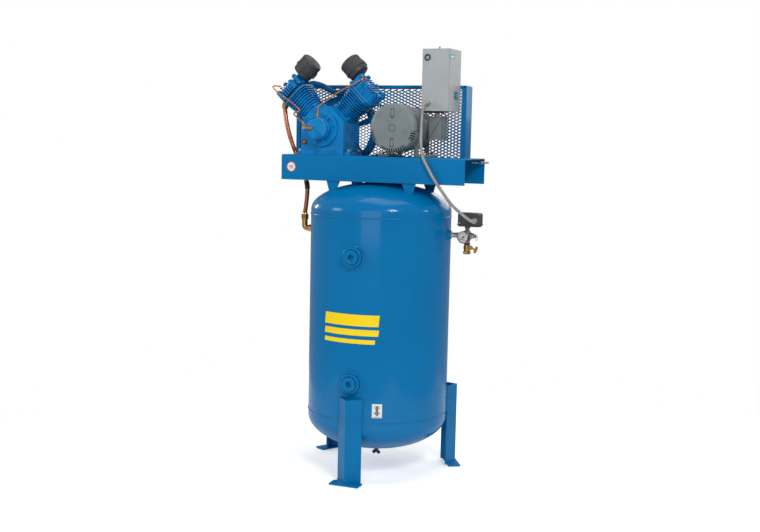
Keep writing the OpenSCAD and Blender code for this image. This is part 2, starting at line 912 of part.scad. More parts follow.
// Five welded sheets round the wiring space, with the hanger tab on the back
module starter_box() {
  skin = sheet + seam_gap;
  wide = box_w - sheet;
  deep = box_d - 2 * skin;
  color([0.68, 0.70, 0.70]) translate([box_x, box_y, box_z]) {
    difference() {
      cube([wide, sheet, box_h]);
      translate([conduit_x - box_x, 0, conduit_z - box_z]) rod_y(fitting_r + 0.5, -1, 3);
      translate([power_x - box_x, 0, power_z - box_z]) rod_y(fitting_r + 0.6, -1, 3);
    }
    translate([0, box_d - sheet, 0]) cube([wide, sheet, box_h]);
    translate([30, box_d - sheet / 2, guard_top_z - guard_lip - box_z])
      cube([60, guard_y - box_y - box_d + sheet / 2, guard_lip]);
    translate([0, skin, skin]) cube([sheet, deep, box_h - 2 * skin]);
    translate([0, skin, box_h - sheet]) cube([wide, deep, sheet]);
    difference() {
      translate([0, skin, 0]) cube([wide, deep, sheet]);
      translate([lead_x - box_x, lead_y - box_y, -1]) cylinder(r = fitting_r, h = 4);
    }
  }
}

module starter_cover() {
  color([0.70, 0.72, 0.72]) difference() {
    translate([box_x + box_w - sheet, box_y, box_z]) cube([sheet, box_d, box_h]);
    translate([box_x + box_w - 3, reset_y - reset_w / 2 - 0.5, reset_z - reset_h / 2 - 0.5])
      cube([6, reset_w + 1, reset_h + 1]);
  }
}

module contactor() {
  color([0.15, 0.15, 0.17])
  translate([box_x + sheet, 20, 1600]) difference() {
    cube([82, 70, 120]);
    for (k = [0 : 2]) translate([74, 10 + 20 * k, -1]) cube([9, 10, 122]);
  }
}

// Plunger with a collar behind the cover, which stops it coming out
module reset_button() {
  face_x = box_x + box_w;
  color([0.2, 0.6, 0.8]) {
    translate([face_x - 26, reset_y - reset_w / 2 - 4, reset_z - reset_h / 2 - 3])
      cube([6, reset_w + 8, reset_h + 6]);
    translate([face_x - 21, reset_y - reset_w / 2, reset_z - reset_h / 2])
      cube([25, reset_w, reset_h]);
  }
}

// Conduit connector, power inlet bushing, nipple to the motor and the lid stud
module conduit_fittings() {
  color("lightgray") {
    translate([conduit_x, 0, conduit_z]) difference() {
      rod_y(fitting_r, box_y - 30, box_y + 5);
      rod_y(conduit_r + 0.5, box_y - 31, box_y + 6);
    }
    translate([power_x, 0, power_z]) difference() {
      union() {
        rod_y(14, box_y - 5, box_y);
        rod_y(fitting_r + 0.5, box_y - 1, box_y + sheet);
      }
      rod_y(power_r, box_y - 6, box_y + sheet + 1);
    }
    translate([lead_x, lead_y, box_z]) difference() {
      translate([0, 0, -28]) cylinder(r = fitting_r - 0.5, h = 38);
      translate([0, 0, -29]) cylinder(r = 7, h = 40);
    }
    translate([lead_x, 60, box_z + box_h]) cylinder(r = 4, h = 15);
  }
}

module control_conduit() {
  color([0.8, 0.8, 0.8]) swept(conduit_route, conduit_r, 8, 3, [1, 0.2, 0.1]);
}

// ---------- discharge line ----------

module discharge_tube() {
  color([0.65, 0.38, 0.26]) swept(discharge_route, discharge_r, 12, 3, [0.2, 1, 0]);
}

// Elbow and nut at the tank's inlet, nut at the left head, and the small
// fittings of the oil lines
module brass_fittings() {
  color([0.78, 0.62, 0.34]) {
    rotate([0, 0, tank_turn]) translate([-inlet_r, 0, side_z]) {
      difference() {
        union() {
          translate([0, 0, 40]) hex(30, 28);
          cylinder(r = 14, h = 42);
          sphere(r = 14);
          rod_x(12.8, 0, inlet_r - tank_r + 8);
        }
        translate([0, 0, 10]) cylinder(r = 8, h = 60);
      }
    }
    bank(-1) translate([-54, -4, barrel_top + plate_t + 26]) rod_x(9, -14, 4);
    translate([-472, -7, 1566]) difference() {
      union() {
        hex(28, 18);
        cylinder(r = 11, h = 24);
        translate([0, 0, 26]) sphere(r = 12.5);
      }
      translate([0, 0, -1]) cylinder(r = 8, h = 20);
    }
    translate([-263, -102, crank_z + 52]) hex(14, 17);
    translate([-275, 0, 1481]) rod_y(6, -152, case_front - 60);
    translate([0, -146, 1481]) rod_x(6, -308, -275);
    translate([-308, -146, 1478]) hex(13, 16);
    bank(-1) translate([-25, -52, head_top]) hex(12, 14);
    bank(1) translate([25, -52, head_top]) hex(12, 14);
  }
}

// ---------- manifold ----------

module pipe_manifold() {
  color([0.72, 0.72, 0.70]) difference() {
    union() {
      rotate([0, 0, tank_turn]) translate([0, 0, side_z]) rod_x(12.8, tank_r - 8, side_x);
      translate([0, pipe_y, side_z]) rod_x(12, side_x - 6, man_x + arm);
      translate([man_x, pipe_y, side_z]) {
        sphere(r = 16);
        translate([0, 0, -34]) cylinder(r = 12, h = 34 + riser);
        rod_y(9, gauge_back - pipe_y, 0);
      }
    }
    translate([0, pipe_y, side_z]) rod_x(7, side_x, man_x + arm + 1);
    rotate([0, 0, tank_turn]) translate([0, 0, side_z]) rod_x(7, tank_r - 9, side_x + 1);
  }
}

module pressure_switch() {
  color([0.15, 0.15, 0.16]) {
    translate([man_x, pipe_y, side_z + riser]) hex(22, 10.5);
    translate([switch_x, switch_y, side_z + riser + 10]) cube([switch_w, 64, 58]);
    translate([436, 0, 1108]) difference() {
      rod_y(fitting_r, switch_y - 22, switch_y + 1);
      rod_y(conduit_r + 0.5, switch_y - 23, switch_y - 2);
    }
  }
}

module gauge_case() {
  color("silver") translate([man_x, gauge_back, side_z - 3]) difference() {
    rod_y(26, -24, 0);
    rod_y(23.5, -25, -20);
  }
}

// Needle at its zero mark, lower left
module gauge_needle() {
  color("black") translate([man_x, gauge_back - 20, side_z - 3]) {
    rod_y(2.5, -2, -0.1);
    rotate([0, 225, 0]) translate([-0.9, -2, -9]) cube([1.8, 1, 28]);
  }
}

module relief_valve() {
  color([0.75, 0.7, 0.55]) translate([man_x + arm, pipe_y, side_z]) difference() {
    union() {
      rotate([0, 90, 0]) hex(20, 13);
      rod_x(9, 12, 20);
    }
    rod_x(pin_r + fit_gap, 2, 21);
  }
}

// Pin of the relief valve with its pull ring
module relief_ring() {
  color("silver") translate([man_x + arm, pipe_y, side_z]) {
    rod_x(pin_r, 4, 25);
    translate([0, 0, -9]) difference() {
      rod_x(11, 22.5, 24.5);
      rod_x(8.8, 21, 26);
    }
  }
}

// Places the children on the outlet valve's stem, +X out towards the wheel
module at_stem() {
  translate([man_x, pipe_y, stem_z]) rotate([0, stem_tilt, 0]) children();
}

module outlet_valve() {
  low = side_z - 78;
  color([0.74, 0.58, 0.32]) difference() {
    union() {
      translate([man_x, pipe_y, low]) cylinder(r = 13, h = side_z - 34 - low);
      translate([man_x, pipe_y, low]) hex(30, 12);
      at_stem() rod_x(9, 0, 27);
    }
    translate([man_x, pipe_y, low - 1]) cylinder(r = outlet_r, h = outlet_len + 1);
    at_stem() rod_x(stem_r + fit_gap, 14, 28);
  }
}

module valve_handwheel() {
  color([0.75, 0.45, 0.2]) at_stem() {
    rod_x(stem_r, 15, 40);
    rod_x(16, 38, 45);
  }
}

tank_shell();
top_head();
bottom_head();
tank_couplings();
inspection_plugs();
tank_legs();
drain_valve_body();
drain_valve_wings();
tank_saddles();
base_pan();
crankcase();
front_cover();
oil_pump_housing();
ball_bearings();
crankshaft();
flywheel();
left_cylinder();
right_cylinder();
valve_plates();
left_head();
right_head();
head_bolts();
left_piston();
left_connecting_rod();
right_piston();
right_connecting_rod();
intake_filters();
filter_elements();
crossover_tube();
sight_glass();
unloader_tubes();
motor_frame();
motor_end_bells();
fan_cover();
stator();
rotor_shaft();
cooling_fan();
motor_feet();
junction_box();
motor_pulley();
v_belts();
guard_frame();
guard_mesh();
mounting_bolts();
starter_box();
starter_cover();
contactor();
reset_button();
conduit_fittings();
control_conduit();
discharge_tube();
brass_fittings();
pipe_manifold();
pressure_switch();
gauge_case();
gauge_needle();
relief_valve();
relief_ring();
outlet_valve();
valve_handwheel();
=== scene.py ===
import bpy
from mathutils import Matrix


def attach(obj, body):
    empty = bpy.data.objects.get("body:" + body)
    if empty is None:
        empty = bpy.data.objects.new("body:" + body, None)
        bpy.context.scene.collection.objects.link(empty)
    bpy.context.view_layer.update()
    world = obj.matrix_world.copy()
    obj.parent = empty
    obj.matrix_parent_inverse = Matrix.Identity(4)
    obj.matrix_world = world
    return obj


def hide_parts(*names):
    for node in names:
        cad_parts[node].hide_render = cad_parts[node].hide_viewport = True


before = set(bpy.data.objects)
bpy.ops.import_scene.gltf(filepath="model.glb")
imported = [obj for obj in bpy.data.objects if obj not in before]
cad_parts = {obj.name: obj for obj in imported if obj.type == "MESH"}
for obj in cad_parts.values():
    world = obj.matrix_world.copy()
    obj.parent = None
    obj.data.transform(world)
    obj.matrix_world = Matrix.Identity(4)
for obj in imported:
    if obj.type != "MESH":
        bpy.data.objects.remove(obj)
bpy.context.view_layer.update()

import math
from math import cos, radians, sin, sqrt

import bmesh
import bpy
from mathutils import Matrix, Vector, geometry, noise

# Vertical tank compressor. Shapes are given in millimetres in the row frame;
# MM turns them into metres when a piece is made.
MM = 0.001
TAU = 2 * math.pi

# ---------- camera, light and floor ----------


def make_camera():
    # solved from the photograph's straight edges and round parts
    azimuth, pitch, roll = radians(22.52), radians(6.382), radians(1.225)
    bearing, distance, height = radians(22.51), 4.9934, 1.4470
    data = bpy.data.cameras.new("camera")
    data.sensor_width = 36.0
    data.lens = 54.46
    data.clip_end = 60.0
    cam = bpy.data.objects.new("camera", data)
    bpy.context.scene.collection.objects.link(cam)
    ahead = Vector((-sin(azimuth) * cos(pitch),
                    cos(azimuth) * cos(pitch), -sin(pitch)))
    right = Vector((cos(azimuth), sin(azimuth), 0))
    up = right.cross(ahead)
    right_r = right * cos(roll) + up * sin(roll)
    up_r = up * cos(roll) - right * sin(roll)
    turn = Matrix((right_r, up_r, -ahead)).transposed().to_4x4()
    place = moved(distance * sin(bearing), -distance * cos(bearing), height)
    cam.matrix_world = place @ turn
    bpy.context.scene.camera = cam


def area_light(name, at, aim, size, power):
    data = bpy.data.lights.new(name, "AREA")
    data.shape = "RECTANGLE"
    data.size, data.size_y = size
    data.energy = power
    lamp = bpy.data.objects.new(name, data)
    lamp.location = at
    lamp.rotation_euler = (Vector(aim) - Vector(at)).to_track_quat("-Z", "Y").to_euler()
    bpy.context.scene.collection.objects.link(lamp)


def make_world():
    """White to the camera, dimmer as a light."""
    seen, given = 1.0, 0.32
    world = bpy.data.worlds.new("studio")
    bpy.context.scene.world = world
    world.use_nodes = True
    nodes, links = world.node_tree.nodes, world.node_tree.links
    ambient = nodes["Background"]
    ambient.inputs[0].default_value = (1, 1, 1, 1)
    ambient.inputs[1].default_value = given
    backdrop = nodes.new("ShaderNodeBackground")
    backdrop.inputs[0].default_value = (1, 1, 1, 1)
    backdrop.inputs[1].default_value = seen
    path = nodes.new("ShaderNodeLightPath")
    mix = nodes.new("ShaderNodeMixShader")
    links.new(path.outputs["Is Camera Ray"], mix.inputs[0])
    links.new(ambient.outputs[0], mix.inputs[1])
    links.new(backdrop.outputs[0], mix.inputs[2])
    links.new(mix.outputs[0], nodes["World Output"].inputs["Surface"])


def make_studio():
    bpy.context.scene.view_settings.view_transform = "Standard"
    make_world()
    centre = (0, 0, 1.0)
    area_light("key", (2.9, -3.3, 3.9), centre, (1.0, 1.0), 105)
    area_light("side", (-3.4, -2.4, 2.6), centre, (1.3, 1.3), 42)
    area_light("front", (0.6, -5.2, 2.0), centre, (3.0, 3.0), 50)
    area_light("top", (0.2, 0.4, 4.6), centre, (2.4, 2.4), 38)
    area_light("rim", (0.5, 4.0, 2.6), centre, (3.0, 2.0), 40)
    area_light("left_glint", (-4.5, 1.7, 2.0), centre, (0.5, 0.9), 26)
    area_light("right_glint", (4.5, 0.9, 2.8), centre, (0.4, 0.8), 15)
    make_floor(half=1.75, glow_as_light=0.06, glow_to_camera=0.42)


def make_floor(half, glow_as_light, glow_to_camera):
    """Pale square that reads as white to the camera."""
    mesh = bpy.data.meshes.new("floor")
    s = half
    mesh.from_pydata([(-s, -s, 0), (s, -s, 0), (s, s, 0), (-s, s, 0)], [], [(0, 1, 2, 3)])
    floor = bpy.data.objects.new("floor", mesh)
    bpy.context.scene.collection.objects.link(floor)
    mat = bpy.data.materials.new("floor")
    mat.use_nodes = True
    bsdf = mat.node_tree.nodes["Principled BSDF"]
    bsdf.inputs["Base Color"].default_value = (0.93, 0.93, 0.93, 1)
    bsdf.inputs["Roughness"].default_value = 0.8
    bsdf.inputs["Emission Color"].default_value = (1, 1, 1, 1)
    path = mat.node_tree.nodes.new("ShaderNodeLightPath")
    glow = mat.node_tree.nodes.new("ShaderNodeMapRange")
    glow.inputs["To Min"].default_value = glow_as_light
    glow.inputs["To Max"].default_value = glow_to_camera
    mat.node_tree.links.new(path.outputs["Is Camera Ray"], glow.inputs["Value"])
    mat.node_tree.links.new(glow.outputs["Result"], bsdf.inputs["Emission Strength"])
    mesh.materials.append(mat)


# ---------- materials ----------


def srgb(r, g, b):
    def linear(c):
        c /= 255
        return c / 12.92 if c <= 0.04045 else ((c + 0.055) / 1.055) ** 2.4
    return (linear(r), linear(g), linear(b))


def material(name, colour, rough, metal=0.0, vary=0.10, scale=7.0, rough_vary=0.08,
             bump=0.1, bump_scale=350.0, depth=0.4, coat=0.0, sheen=0.5,
             dirt=None, dirt_amount=0.0, dirt_scale=14.0):
    """Colour clouds, patchy gloss, fine bump and optional grime on one Principled shader."""
    mat = bpy.data.materials.new(name)
    mat.use_nodes = True
    nodes, links = mat.node_tree.nodes, mat.node_tree.links
    bsdf = nodes["Principled BSDF"]
    bsdf.inputs["Metallic"].default_value = metal
    bsdf.inputs["Specular IOR Level"].default_value = sheen
    bsdf.inputs["Coat Weight"].default_value = coat
    bsdf.inputs["Coat Roughness"].default_value = 0.10
    coord = nodes.new("ShaderNodeTexCoord")

    def cloud(size, detail):
        node = nodes.new("ShaderNodeTexNoise")
        node.inputs["Scale"].default_value = size
        node.inputs["Detail"].default_value = detail
        links.new(coord.outputs["Object"], node.inputs["Vector"])
        return node

    broad = cloud(scale, 5.0)
    ramp = nodes.new("ShaderNodeValToRGB")
    ramp.color_ramp.elements[0].position = 0.3
    ramp.color_ramp.elements[1].position = 0.7
    ramp.color_ramp.elements[0].color = (*[c * (1 - vary) for c in colour], 1)
    ramp.color_ramp.elements[1].color = (*[min(1, c * (1 + vary)) for c in colour], 1)
    links.new(broad.outputs["Fac"], ramp.inputs["Fac"])
    tint = ramp.outputs["Color"]
    if dirt:
        spots = cloud(dirt_scale, 8.0)
        mask = nodes.new("ShaderNodeMapRange")
        mask.inputs["From Min"].default_value = 0.52
        mask.inputs["From Max"].default_value = 0.75
        mask.inputs["To Max"].default_value = dirt_amount
        links.new(spots.outputs["Fac"], mask.inputs["Value"])
        mix = nodes.new("ShaderNodeMix")
        mix.data_type = "RGBA"
        # the colour sockets of a Mix node come after its float and vector ones
        mix.inputs[7].default_value = (*dirt, 1)
        links.new(mask.outputs["Result"], mix.inputs[0])
        links.new(tint, mix.inputs[6])
        tint = mix.outputs[2]
    links.new(tint, bsdf.inputs["Base Color"])
    patch = cloud(scale * 3.1, 4.0)
    gloss = nodes.new("ShaderNodeMapRange")
    gloss.inputs["From Min"].default_value = 0.3
    gloss.inputs["From Max"].default_value = 0.7
    gloss.inputs["To Min"].default_value = max(0.02, rough - rough_vary)
    gloss.inputs["To Max"].default_value = min(1.0, rough + rough_vary)
    links.new(patch.outputs["Fac"], gloss.inputs["Value"])
    links.new(gloss.outputs["Result"], bsdf.inputs["Roughness"])
    if bump:
        grain = cloud(bump_scale, 3.0)
        relief = nodes.new("ShaderNodeBump")
        relief.inputs["Strength"].default_value = bump
        relief.inputs["Distance"].default_value = depth * MM
        links.new(grain.outputs["Fac"], relief.inputs["Height"])
        links.new(relief.outputs["Normal"], bsdf.inputs["Normal"])
    return mat


RUST = (0.16, 0.06, 0.025)
M = {
    "tank": material("blue_tank_paint", srgb(0, 113, 172), 0.26, vary=0.04, scale=2.2,
                     rough_vary=0.04, bump=0.05, bump_scale=60, depth=0.3, coat=0.34,
                     sheen=0.06, dirt=srgb(0, 92, 150), dirt_amount=0.22, dirt_scale=3.0),
    "sheet": material("blue_sheet_paint", srgb(0, 113, 171), 0.40, vary=0.04, scale=4.0,
                      rough_vary=0.06, bump=0.06, bump_scale=120, depth=0.4, coat=0.12,
                      sheen=0.08, dirt=srgb(0, 88, 142), dirt_amount=0.22, dirt_scale=6.0),
    "cast": material("blue_cast_iron", srgb(0, 128, 196), 0.40, vary=0.08, scale=16,
                     rough_vary=0.10, bump=0.28, bump_scale=260, depth=0.6, coat=0.25,
                     sheen=0.16, dirt=srgb(0, 48, 84), dirt_amount=0.5, dirt_scale=22),
    # painted shade: a darker copy of the cast iron paint, for the crossover pipe, which lies in
    # shade
    "shade": material("painted_shade_blue_cast_iron", srgb(0, 84, 136), 0.5, vary=0.08, scale=16,
                      rough_vary=0.10, bump=0.28, bump_scale=260, depth=0.6,
                      sheen=0.15, dirt=srgb(0, 40, 72), dirt_amount=0.5, dirt_scale=22),
    "motor": material("grey_motor_paint", srgb(119, 129, 131), 0.45, vary=0.06, scale=10,
                      rough_vary=0.08, bump=0.3, bump_scale=320, depth=0.4, coat=0.1,
                      dirt=srgb(74, 80, 82), dirt_amount=0.35, dirt_scale=14),
    "box": material("grey_box_paint", srgb(168, 173, 175), 0.42, vary=0.03, scale=8,
                    rough_vary=0.06, bump=0.25, bump_scale=420, depth=0.25,
                    dirt=srgb(140, 142, 142), dirt_amount=0.25, dirt_scale=9),
    "black": material("black_plastic", srgb(59, 61, 65), 0.5, vary=0.10, scale=25,
                      bump=0.15, bump_scale=500, depth=0.2, sheen=0.4,
                      dirt=srgb(74, 76, 80), dirt_amount=0.2, dirt_scale=30),
    "rubber": material("black_rubber", srgb(26, 26, 27), 0.75, vary=0.2, scale=40,
                       bump=0.5, bump_scale=900, depth=0.3),
    "copper": material("copper_tube", srgb(176, 108, 82), 0.32, metal=0.85, vary=0.22, scale=20,
                       rough_vary=0.12, bump=0.1, bump_scale=200,
                       dirt=srgb(92, 54, 44), dirt_amount=0.7, dirt_scale=28),
    "line": material("copper_line", srgb(196, 128, 84), 0.34, metal=0.75, vary=0.15, scale=40,
                     bump=0.1, dirt=srgb(110, 64, 44), dirt_amount=0.6, dirt_scale=50),
    "brass": material("brass", srgb(198, 152, 88), 0.30, metal=0.9, vary=0.14, scale=30,
                      rough_vary=0.12, bump=0.2, bump_scale=500,
                      dirt=srgb(120, 84, 44), dirt_amount=0.6, dirt_scale=45),
    "zinc": material("zinc_steel", srgb(186, 188, 184), 0.38, metal=0.85, vary=0.12, scale=35,
                     rough_vary=0.12, bump=0.25, bump_scale=400,
                     dirt=srgb(118, 116, 106), dirt_amount=0.5, dirt_scale=40),
    "steel": material("bare_steel", srgb(168, 168, 166), 0.32, metal=0.95, vary=0.1, scale=40,
                      rough_vary=0.12, bump=0.15, bump_scale=600,
                      dirt=srgb(92, 84, 76), dirt_amount=0.5, dirt_scale=40),
    # also used for painted shade: dark patches for the openings on the fan cover
    "dark": material("dark_cast_iron", srgb(66, 68, 72), 0.5, metal=0.4, vary=0.2, scale=30,
                     bump=0.4, bump_scale=300, depth=0.5, dirt=RUST, dirt_amount=0.4),
    "conduit": material("grey_conduit", srgb(172, 166, 160), 0.42, metal=0.4, vary=0.10, scale=30,
                        bump=0.2, bump_scale=500, dirt=srgb(96, 92, 88), dirt_amount=0.6),
    "cyan": material("cyan_plastic", srgb(44, 160, 200), 0.35, vary=0.05, scale=60,
                     bump=0.15, bump_scale=800),
    "teal": material("teal_label", srgb(38, 160, 160), 0.4, vary=0.05, scale=50, bump=0.05),
    "white": material("white_label", srgb(232, 232, 228), 0.45, vary=0.03, scale=40, bump=0.05),
    "yellow": material("yellow_decal", srgb(255, 218, 0), 0.35, vary=0.03, scale=20, bump=0.05),
    "red": material("red_print", srgb(196, 52, 60), 0.45, vary=0.05, scale=60, bump=0.05),
    "print": material("grey_print", srgb(110, 114, 118), 0.5, vary=0.05, scale=60, bump=0.05),
    # also used for painted shade: the black ring behind the fan cover's slots
    "ink": material("black_print_and_painted_shade", srgb(24, 24, 26), 0.5, vary=0.1, scale=60, bump=0.05),
    "orange": material("orange_handwheel", srgb(206, 122, 44), 0.38, metal=0.3, vary=0.12,
                       scale=40, bump=0.25, bump_scale=500, dirt=srgb(120, 62, 24),
                       dirt_amount=0.5, dirt_scale=60),
    "paper": material("filter_paper", srgb(214, 196, 150), 0.85, vary=0.08, scale=40, bump=0.4),
    "winding": material("copper_winding", srgb(150, 92, 58), 0.45, metal=0.4, vary=0.2,
                        scale=60, bump=0.6, bump_scale=300, depth=1.0),
    "alloy": material("aluminium_casting", srgb(178, 180, 182), 0.38, metal=0.9, vary=0.1,
                      scale=30, bump=0.3, bump_scale=300),
}


def glass():
    mat = bpy.data.materials.new("gauge_glass")
    mat.use_nodes = True
    bsdf = mat.node_tree.nodes["Principled BSDF"]
    bsdf.inputs["Base Color"].default_value = (1, 1, 1, 1)
    bsdf.inputs["Roughness"].default_value = 0.05
    bsdf.inputs["Transmission Weight"].default_value = 1.0
    bsdf.inputs["IOR"].default_value = 1.1
    return mat


M["glass"] = glass()

# ---------- mesh building ----------


def turned(x=0, y=0, z=0, at=(0, 0, 0)):
    """Placement: rotated by degrees about X, then Y, then Z, then moved."""
    return (Matrix.Translation(at) @ Matrix.Rotation(radians(z), 4, "Z")
            @ Matrix.Rotation(radians(y), 4, "Y") @ Matrix.Rotation(radians(x), 4, "X"))


def moved(x, y, z):
    return Matrix.Translation((x, y, z))


def polar(r, a, *z):
    """Point at radius r and angle a, with its height if given."""
    return (r * cos(a), r * sin(a), *z)


def circle(r, n=48, x=0, y=0, start=0.0):
    return [(x + r * cos(TAU * k / n + start), y + r * sin(TAU * k / n + start))
            for k in range(n)]


def rounded(w, d, r, n=5, x=0, y=0):
    """Rectangle outline with round corners, centred on (x, y)."""
    out = []
    for cx, cy, a in ((w / 2 - r, d / 2 - r, 0), (r - w / 2, d / 2 - r, 90),
                      (r - w / 2, r - d / 2, 180), (w / 2 - r, r - d / 2, 270)):
        for k in range(n + 1):
            t = radians(a + 90 * k / n)
            out.append((x + cx + r * cos(t), y + cy + r * sin(t)))
    return out


def cut_rect(w, d, c):
    x, y = w / 2, d / 2
    return [(-x + c, -y), (x - c, -y), (x, -y + c), (x, y - c),
            (x - c, y), (-x + c, y), (-x, y - c), (-x, -y + c)]


def smooth_route(points, steps):
    """Catmull-Rom points through a route."""
    out = []
    last = len(points) - 1
    for i in range(last):
        a, b = Vector(points[max(i - 1, 0)]), Vector(points[i])
        c, d = Vector(points[i + 1]), Vector(points[min(i + 2, last)])
        for j in range(steps):
            t = j / steps
            out.append(0.5 * (2 * b + (c - a) * t + (2 * a - 5 * b + 4 * c - d) * t * t
                              + (3 * b - a - 3 * c + d) * t ** 3))
    out.append(Vector(points[last]))
    return out


HOME = Matrix.Identity(4)
SHARP = 32  # degrees; edges sharper than this are bevelled and shaded sharp


class Piece:
    """Collects solids in millimetres and makes one object of them."""

    def __init__(self, mat, place=HOME):
        self.verts, self.faces, self.slots, self.mats = [], [], [], []
        self.place = place
        self.use(mat)

    def at(self, place):
        """Sets the placement for what is drawn next."""
        self.place = place
        return self

    def use(self, mat):
        if M[mat] not in self.mats:
            self.mats.append(M[mat])
        self.slot = self.mats.index(M[mat])

    def add(self, verts, faces):
        base = len(self.verts)
        self.verts += [self.place @ Vector(v) for v in verts]
        self.faces += [[base + i for i in f] for f in faces]
        self.slots += [self.slot] * len(faces)

    def loft(self, rings, ends=True, loop=False):
        n, count = len(rings[0]), len(rings)
        faces = []
        for i in range(count if loop else count - 1):
            j = (i + 1) % count
            faces += [(i * n + k, i * n + (k + 1) % n, j * n + (k + 1) % n, j * n + k)
                      for k in range(n)]
        if ends and not loop:
            faces.append(tuple(range(n - 1, -1, -1)))
            faces.append(tuple((count - 1) * n + k for k in range(n)))
        self.add([p for ring in rings for p in ring], faces)

    def lathe(self, profile, segs=64, ring=False):
        """Turns (r, z) points about Z. A ring's profile is closed."""
        self.loft([[polar(r, TAU * k / segs, z) for k in range(segs)] for r, z in profile],
                  loop=ring)

    def disc(self, r, z0, z1, segs=48, edge=0.0):
        if edge:
            self.lathe([(r - edge, z0), (r, z0 + edge), (r, z1 - edge), (r - edge, z1)], segs)
        else:
            self.lathe([(r, z0), (r, z1)], segs)

    def tyre(self, r_in, r_out, z0, z1, segs=64):
        self.lathe([(r_in, z0), (r_out, z0), (r_out, z1), (r_in, z1)], segs, ring=True)

    def prism(self, outline, z0, z1, holes=()):
        loops = [outline] + [list(h) for h in holes]
        flat = [p for loop in loops for p in loop]
        n = len(flat)
        verts = [(x, y, z0) for x, y in flat] + [(x, y, z1) for x, y in flat]
        if holes:
            tris = geometry.tessellate_polygon([[Vector((x, y, 0)) for x, y in l] for l in loops])
            faces = [tuple(t) for t in tris] + [tuple(i + n for i in t) for t in tris]
        else:
            faces = [tuple(range(n - 1, -1, -1)), tuple(range(n, 2 * n))]
        start = 0
        for loop in loops:
            m = len(loop)
            faces += [(start + k, start + (k + 1) % m, n + start + (k + 1) % m, n + start + k)
                      for k in range(m)]
            start += m
        self.add(verts, faces)

    def box(self, lo, hi):
        outline = [(lo[0], lo[1]), (hi[0], lo[1]), (hi[0], hi[1]), (lo[0], hi[1])]
        self.prism(outline, lo[2], hi[2])

    def tube(self, path, r, sides=14, loop=False, ripple=0.0, waves=0.0):
        """Round tube along a path. ripple and waves make a weld bead or a ribbed skin."""
        path = [Vector(p) for p in path]
        count = len(path)
        side = None
        rings = []
        for i, p in enumerate(path):
            a = path[i - 1] if (i or loop) else p
            b = path[(i + 1) % count] if (i < count - 1 or loop) else p
            along = (b - a).normalized()
            if side is None:
                side = along.orthogonal().normalized()
            side = (side - along * side.dot(along)).normalized()
            other = along.cross(side)
            rr = r * (1 + ripple * sin(waves * TAU * i / count)) if ripple else r
            rings.append([p + side * (rr * cos(TAU * k / sides))
                          + other * (rr * sin(TAU * k / sides)) for k in range(sides)])
        self.loft(rings, loop=loop)

    def hexagon(self, af, z0, z1, chamfer=0.9):
        """Hexagon with its top corners chamfered, across flats af."""
        r = af / sqrt(3)
        drop = min(2.0, (z1 - z0) * 0.25)
        ring = [circle(r, 6), circle(r, 6), circle(r * chamfer, 6)]
        self.loft([[(x, y, z) for x, y in loop] for loop, z in zip(ring, (z0, z1 - drop, z1))])

    def bolt(self, af, height, washer=True):
        """Hex head on a washer, +Z out, on the plane z = 0."""
        base = 0.0
        if washer:
            self.disc(af * 0.78, 0, 1.8, 28, 0.3)
            base = 1.8
        self.hexagon(af, base, height)
        self.disc(af * 0.36, height - 0.4, height + 0.3, 20)

    def threads(self, r, z0, z1, pitch=1.8, segs=28):
        """Thread crests as closely set rounded rings on a core."""
        profile = []
        n = max(2, int((z1 - z0) / pitch))
        for k in range(n):
            z = z0 + (z1 - z0) * k / n
            profile += [(r * 0.9, z), (r, z + (z1 - z0) / n * 0.5)]
        profile.append((r * 0.9, z1))
        self.lathe(profile, segs)

    def mesh(self, name, weld=0.00001):
        """Mesh in metres, its close points joined and its faces turned outward."""
        mesh = bpy.data.meshes.new(name)
        mesh.from_pydata([v * MM for v in self.verts], [], self.faces)
        for mat in self.mats:
            mesh.materials.append(mat)
        mesh.polygons.foreach_set("material_index", self.slots)
        bm = bmesh.new()
        bm.from_mesh(mesh)
        if weld:
            bmesh.ops.remove_doubles(bm, verts=bm.verts, dist=weld)
            bmesh.ops.dissolve_degenerate(bm, edges=bm.edges, dist=weld)
        bmesh.ops.recalc_face_normals(bm, faces=bm.faces)
        bm.to_mesh(mesh)
        bm.free()
        return mesh

    def make(self, name, body, *nodes, bevel=0.8, steps=2, angle=SHARP):
        mesh = self.mesh(name)
        mesh.polygons.foreach_set("use_smooth", [True] * len(mesh.polygons))
        mesh.set_sharp_from_angle(angle=radians(angle))
        obj = bpy.data.objects.new(name, mesh)
        bpy.context.scene.collection.objects.link(obj)
        if bevel:
            mod = obj.modifiers.new("edges", "BEVEL")
            mod.width = bevel * MM
            mod.segments = steps
            mod.limit_method = "ANGLE"
            mod.angle_limit = radians(angle)
            mod.harden_normals = True
            mod.use_clamp_overlap = True
        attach(obj, body)
        if nodes:
            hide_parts(*nodes)
        return obj


make_camera()
make_studio()

# ---------- tank ----------

TANK_R = 304.8
SEAM_LOW, SEAM_HIGH = 261, 1115
PORTS = turned(z=4)
FRONT = turned(z=1)
ALONG_X = Matrix(((0, 0, 1, 0), (1, 0, 0, 0), (0, 1, 0, 0), (0, 0, 0, 1)))


def dish(flange, depth, wall=4, n=26):
    """Closed profile of a dished head, seam at z = 0 and the dish upward."""
    outer = [(TANK_R, 0)]
    inner = []
    for k in range(n + 1):
        t = math.pi / 2 * k / n
        outer.append((TANK_R * cos(t) + 0.001, flange + depth * sin(t)))
        inner.append(((TANK_R - wall) * cos(t) + 0.001,
                      flange + (depth - wall) * sin(t)))
    return outer + inner[::-1] + [(TANK_R - wall, 0)]


def ring_path(r, z, n=360, jitter=0.25):
    """Circle about Z that wanders a little, as a hand-made weld does."""
    out = []
    for k in range(n):
        a = TAU * k / n
        wander = jitter * noise.noise(Vector((cos(a) * 9, sin(a) * 9, z)))
        out.append((r * cos(a), r * sin(a), z + wander))
    return out


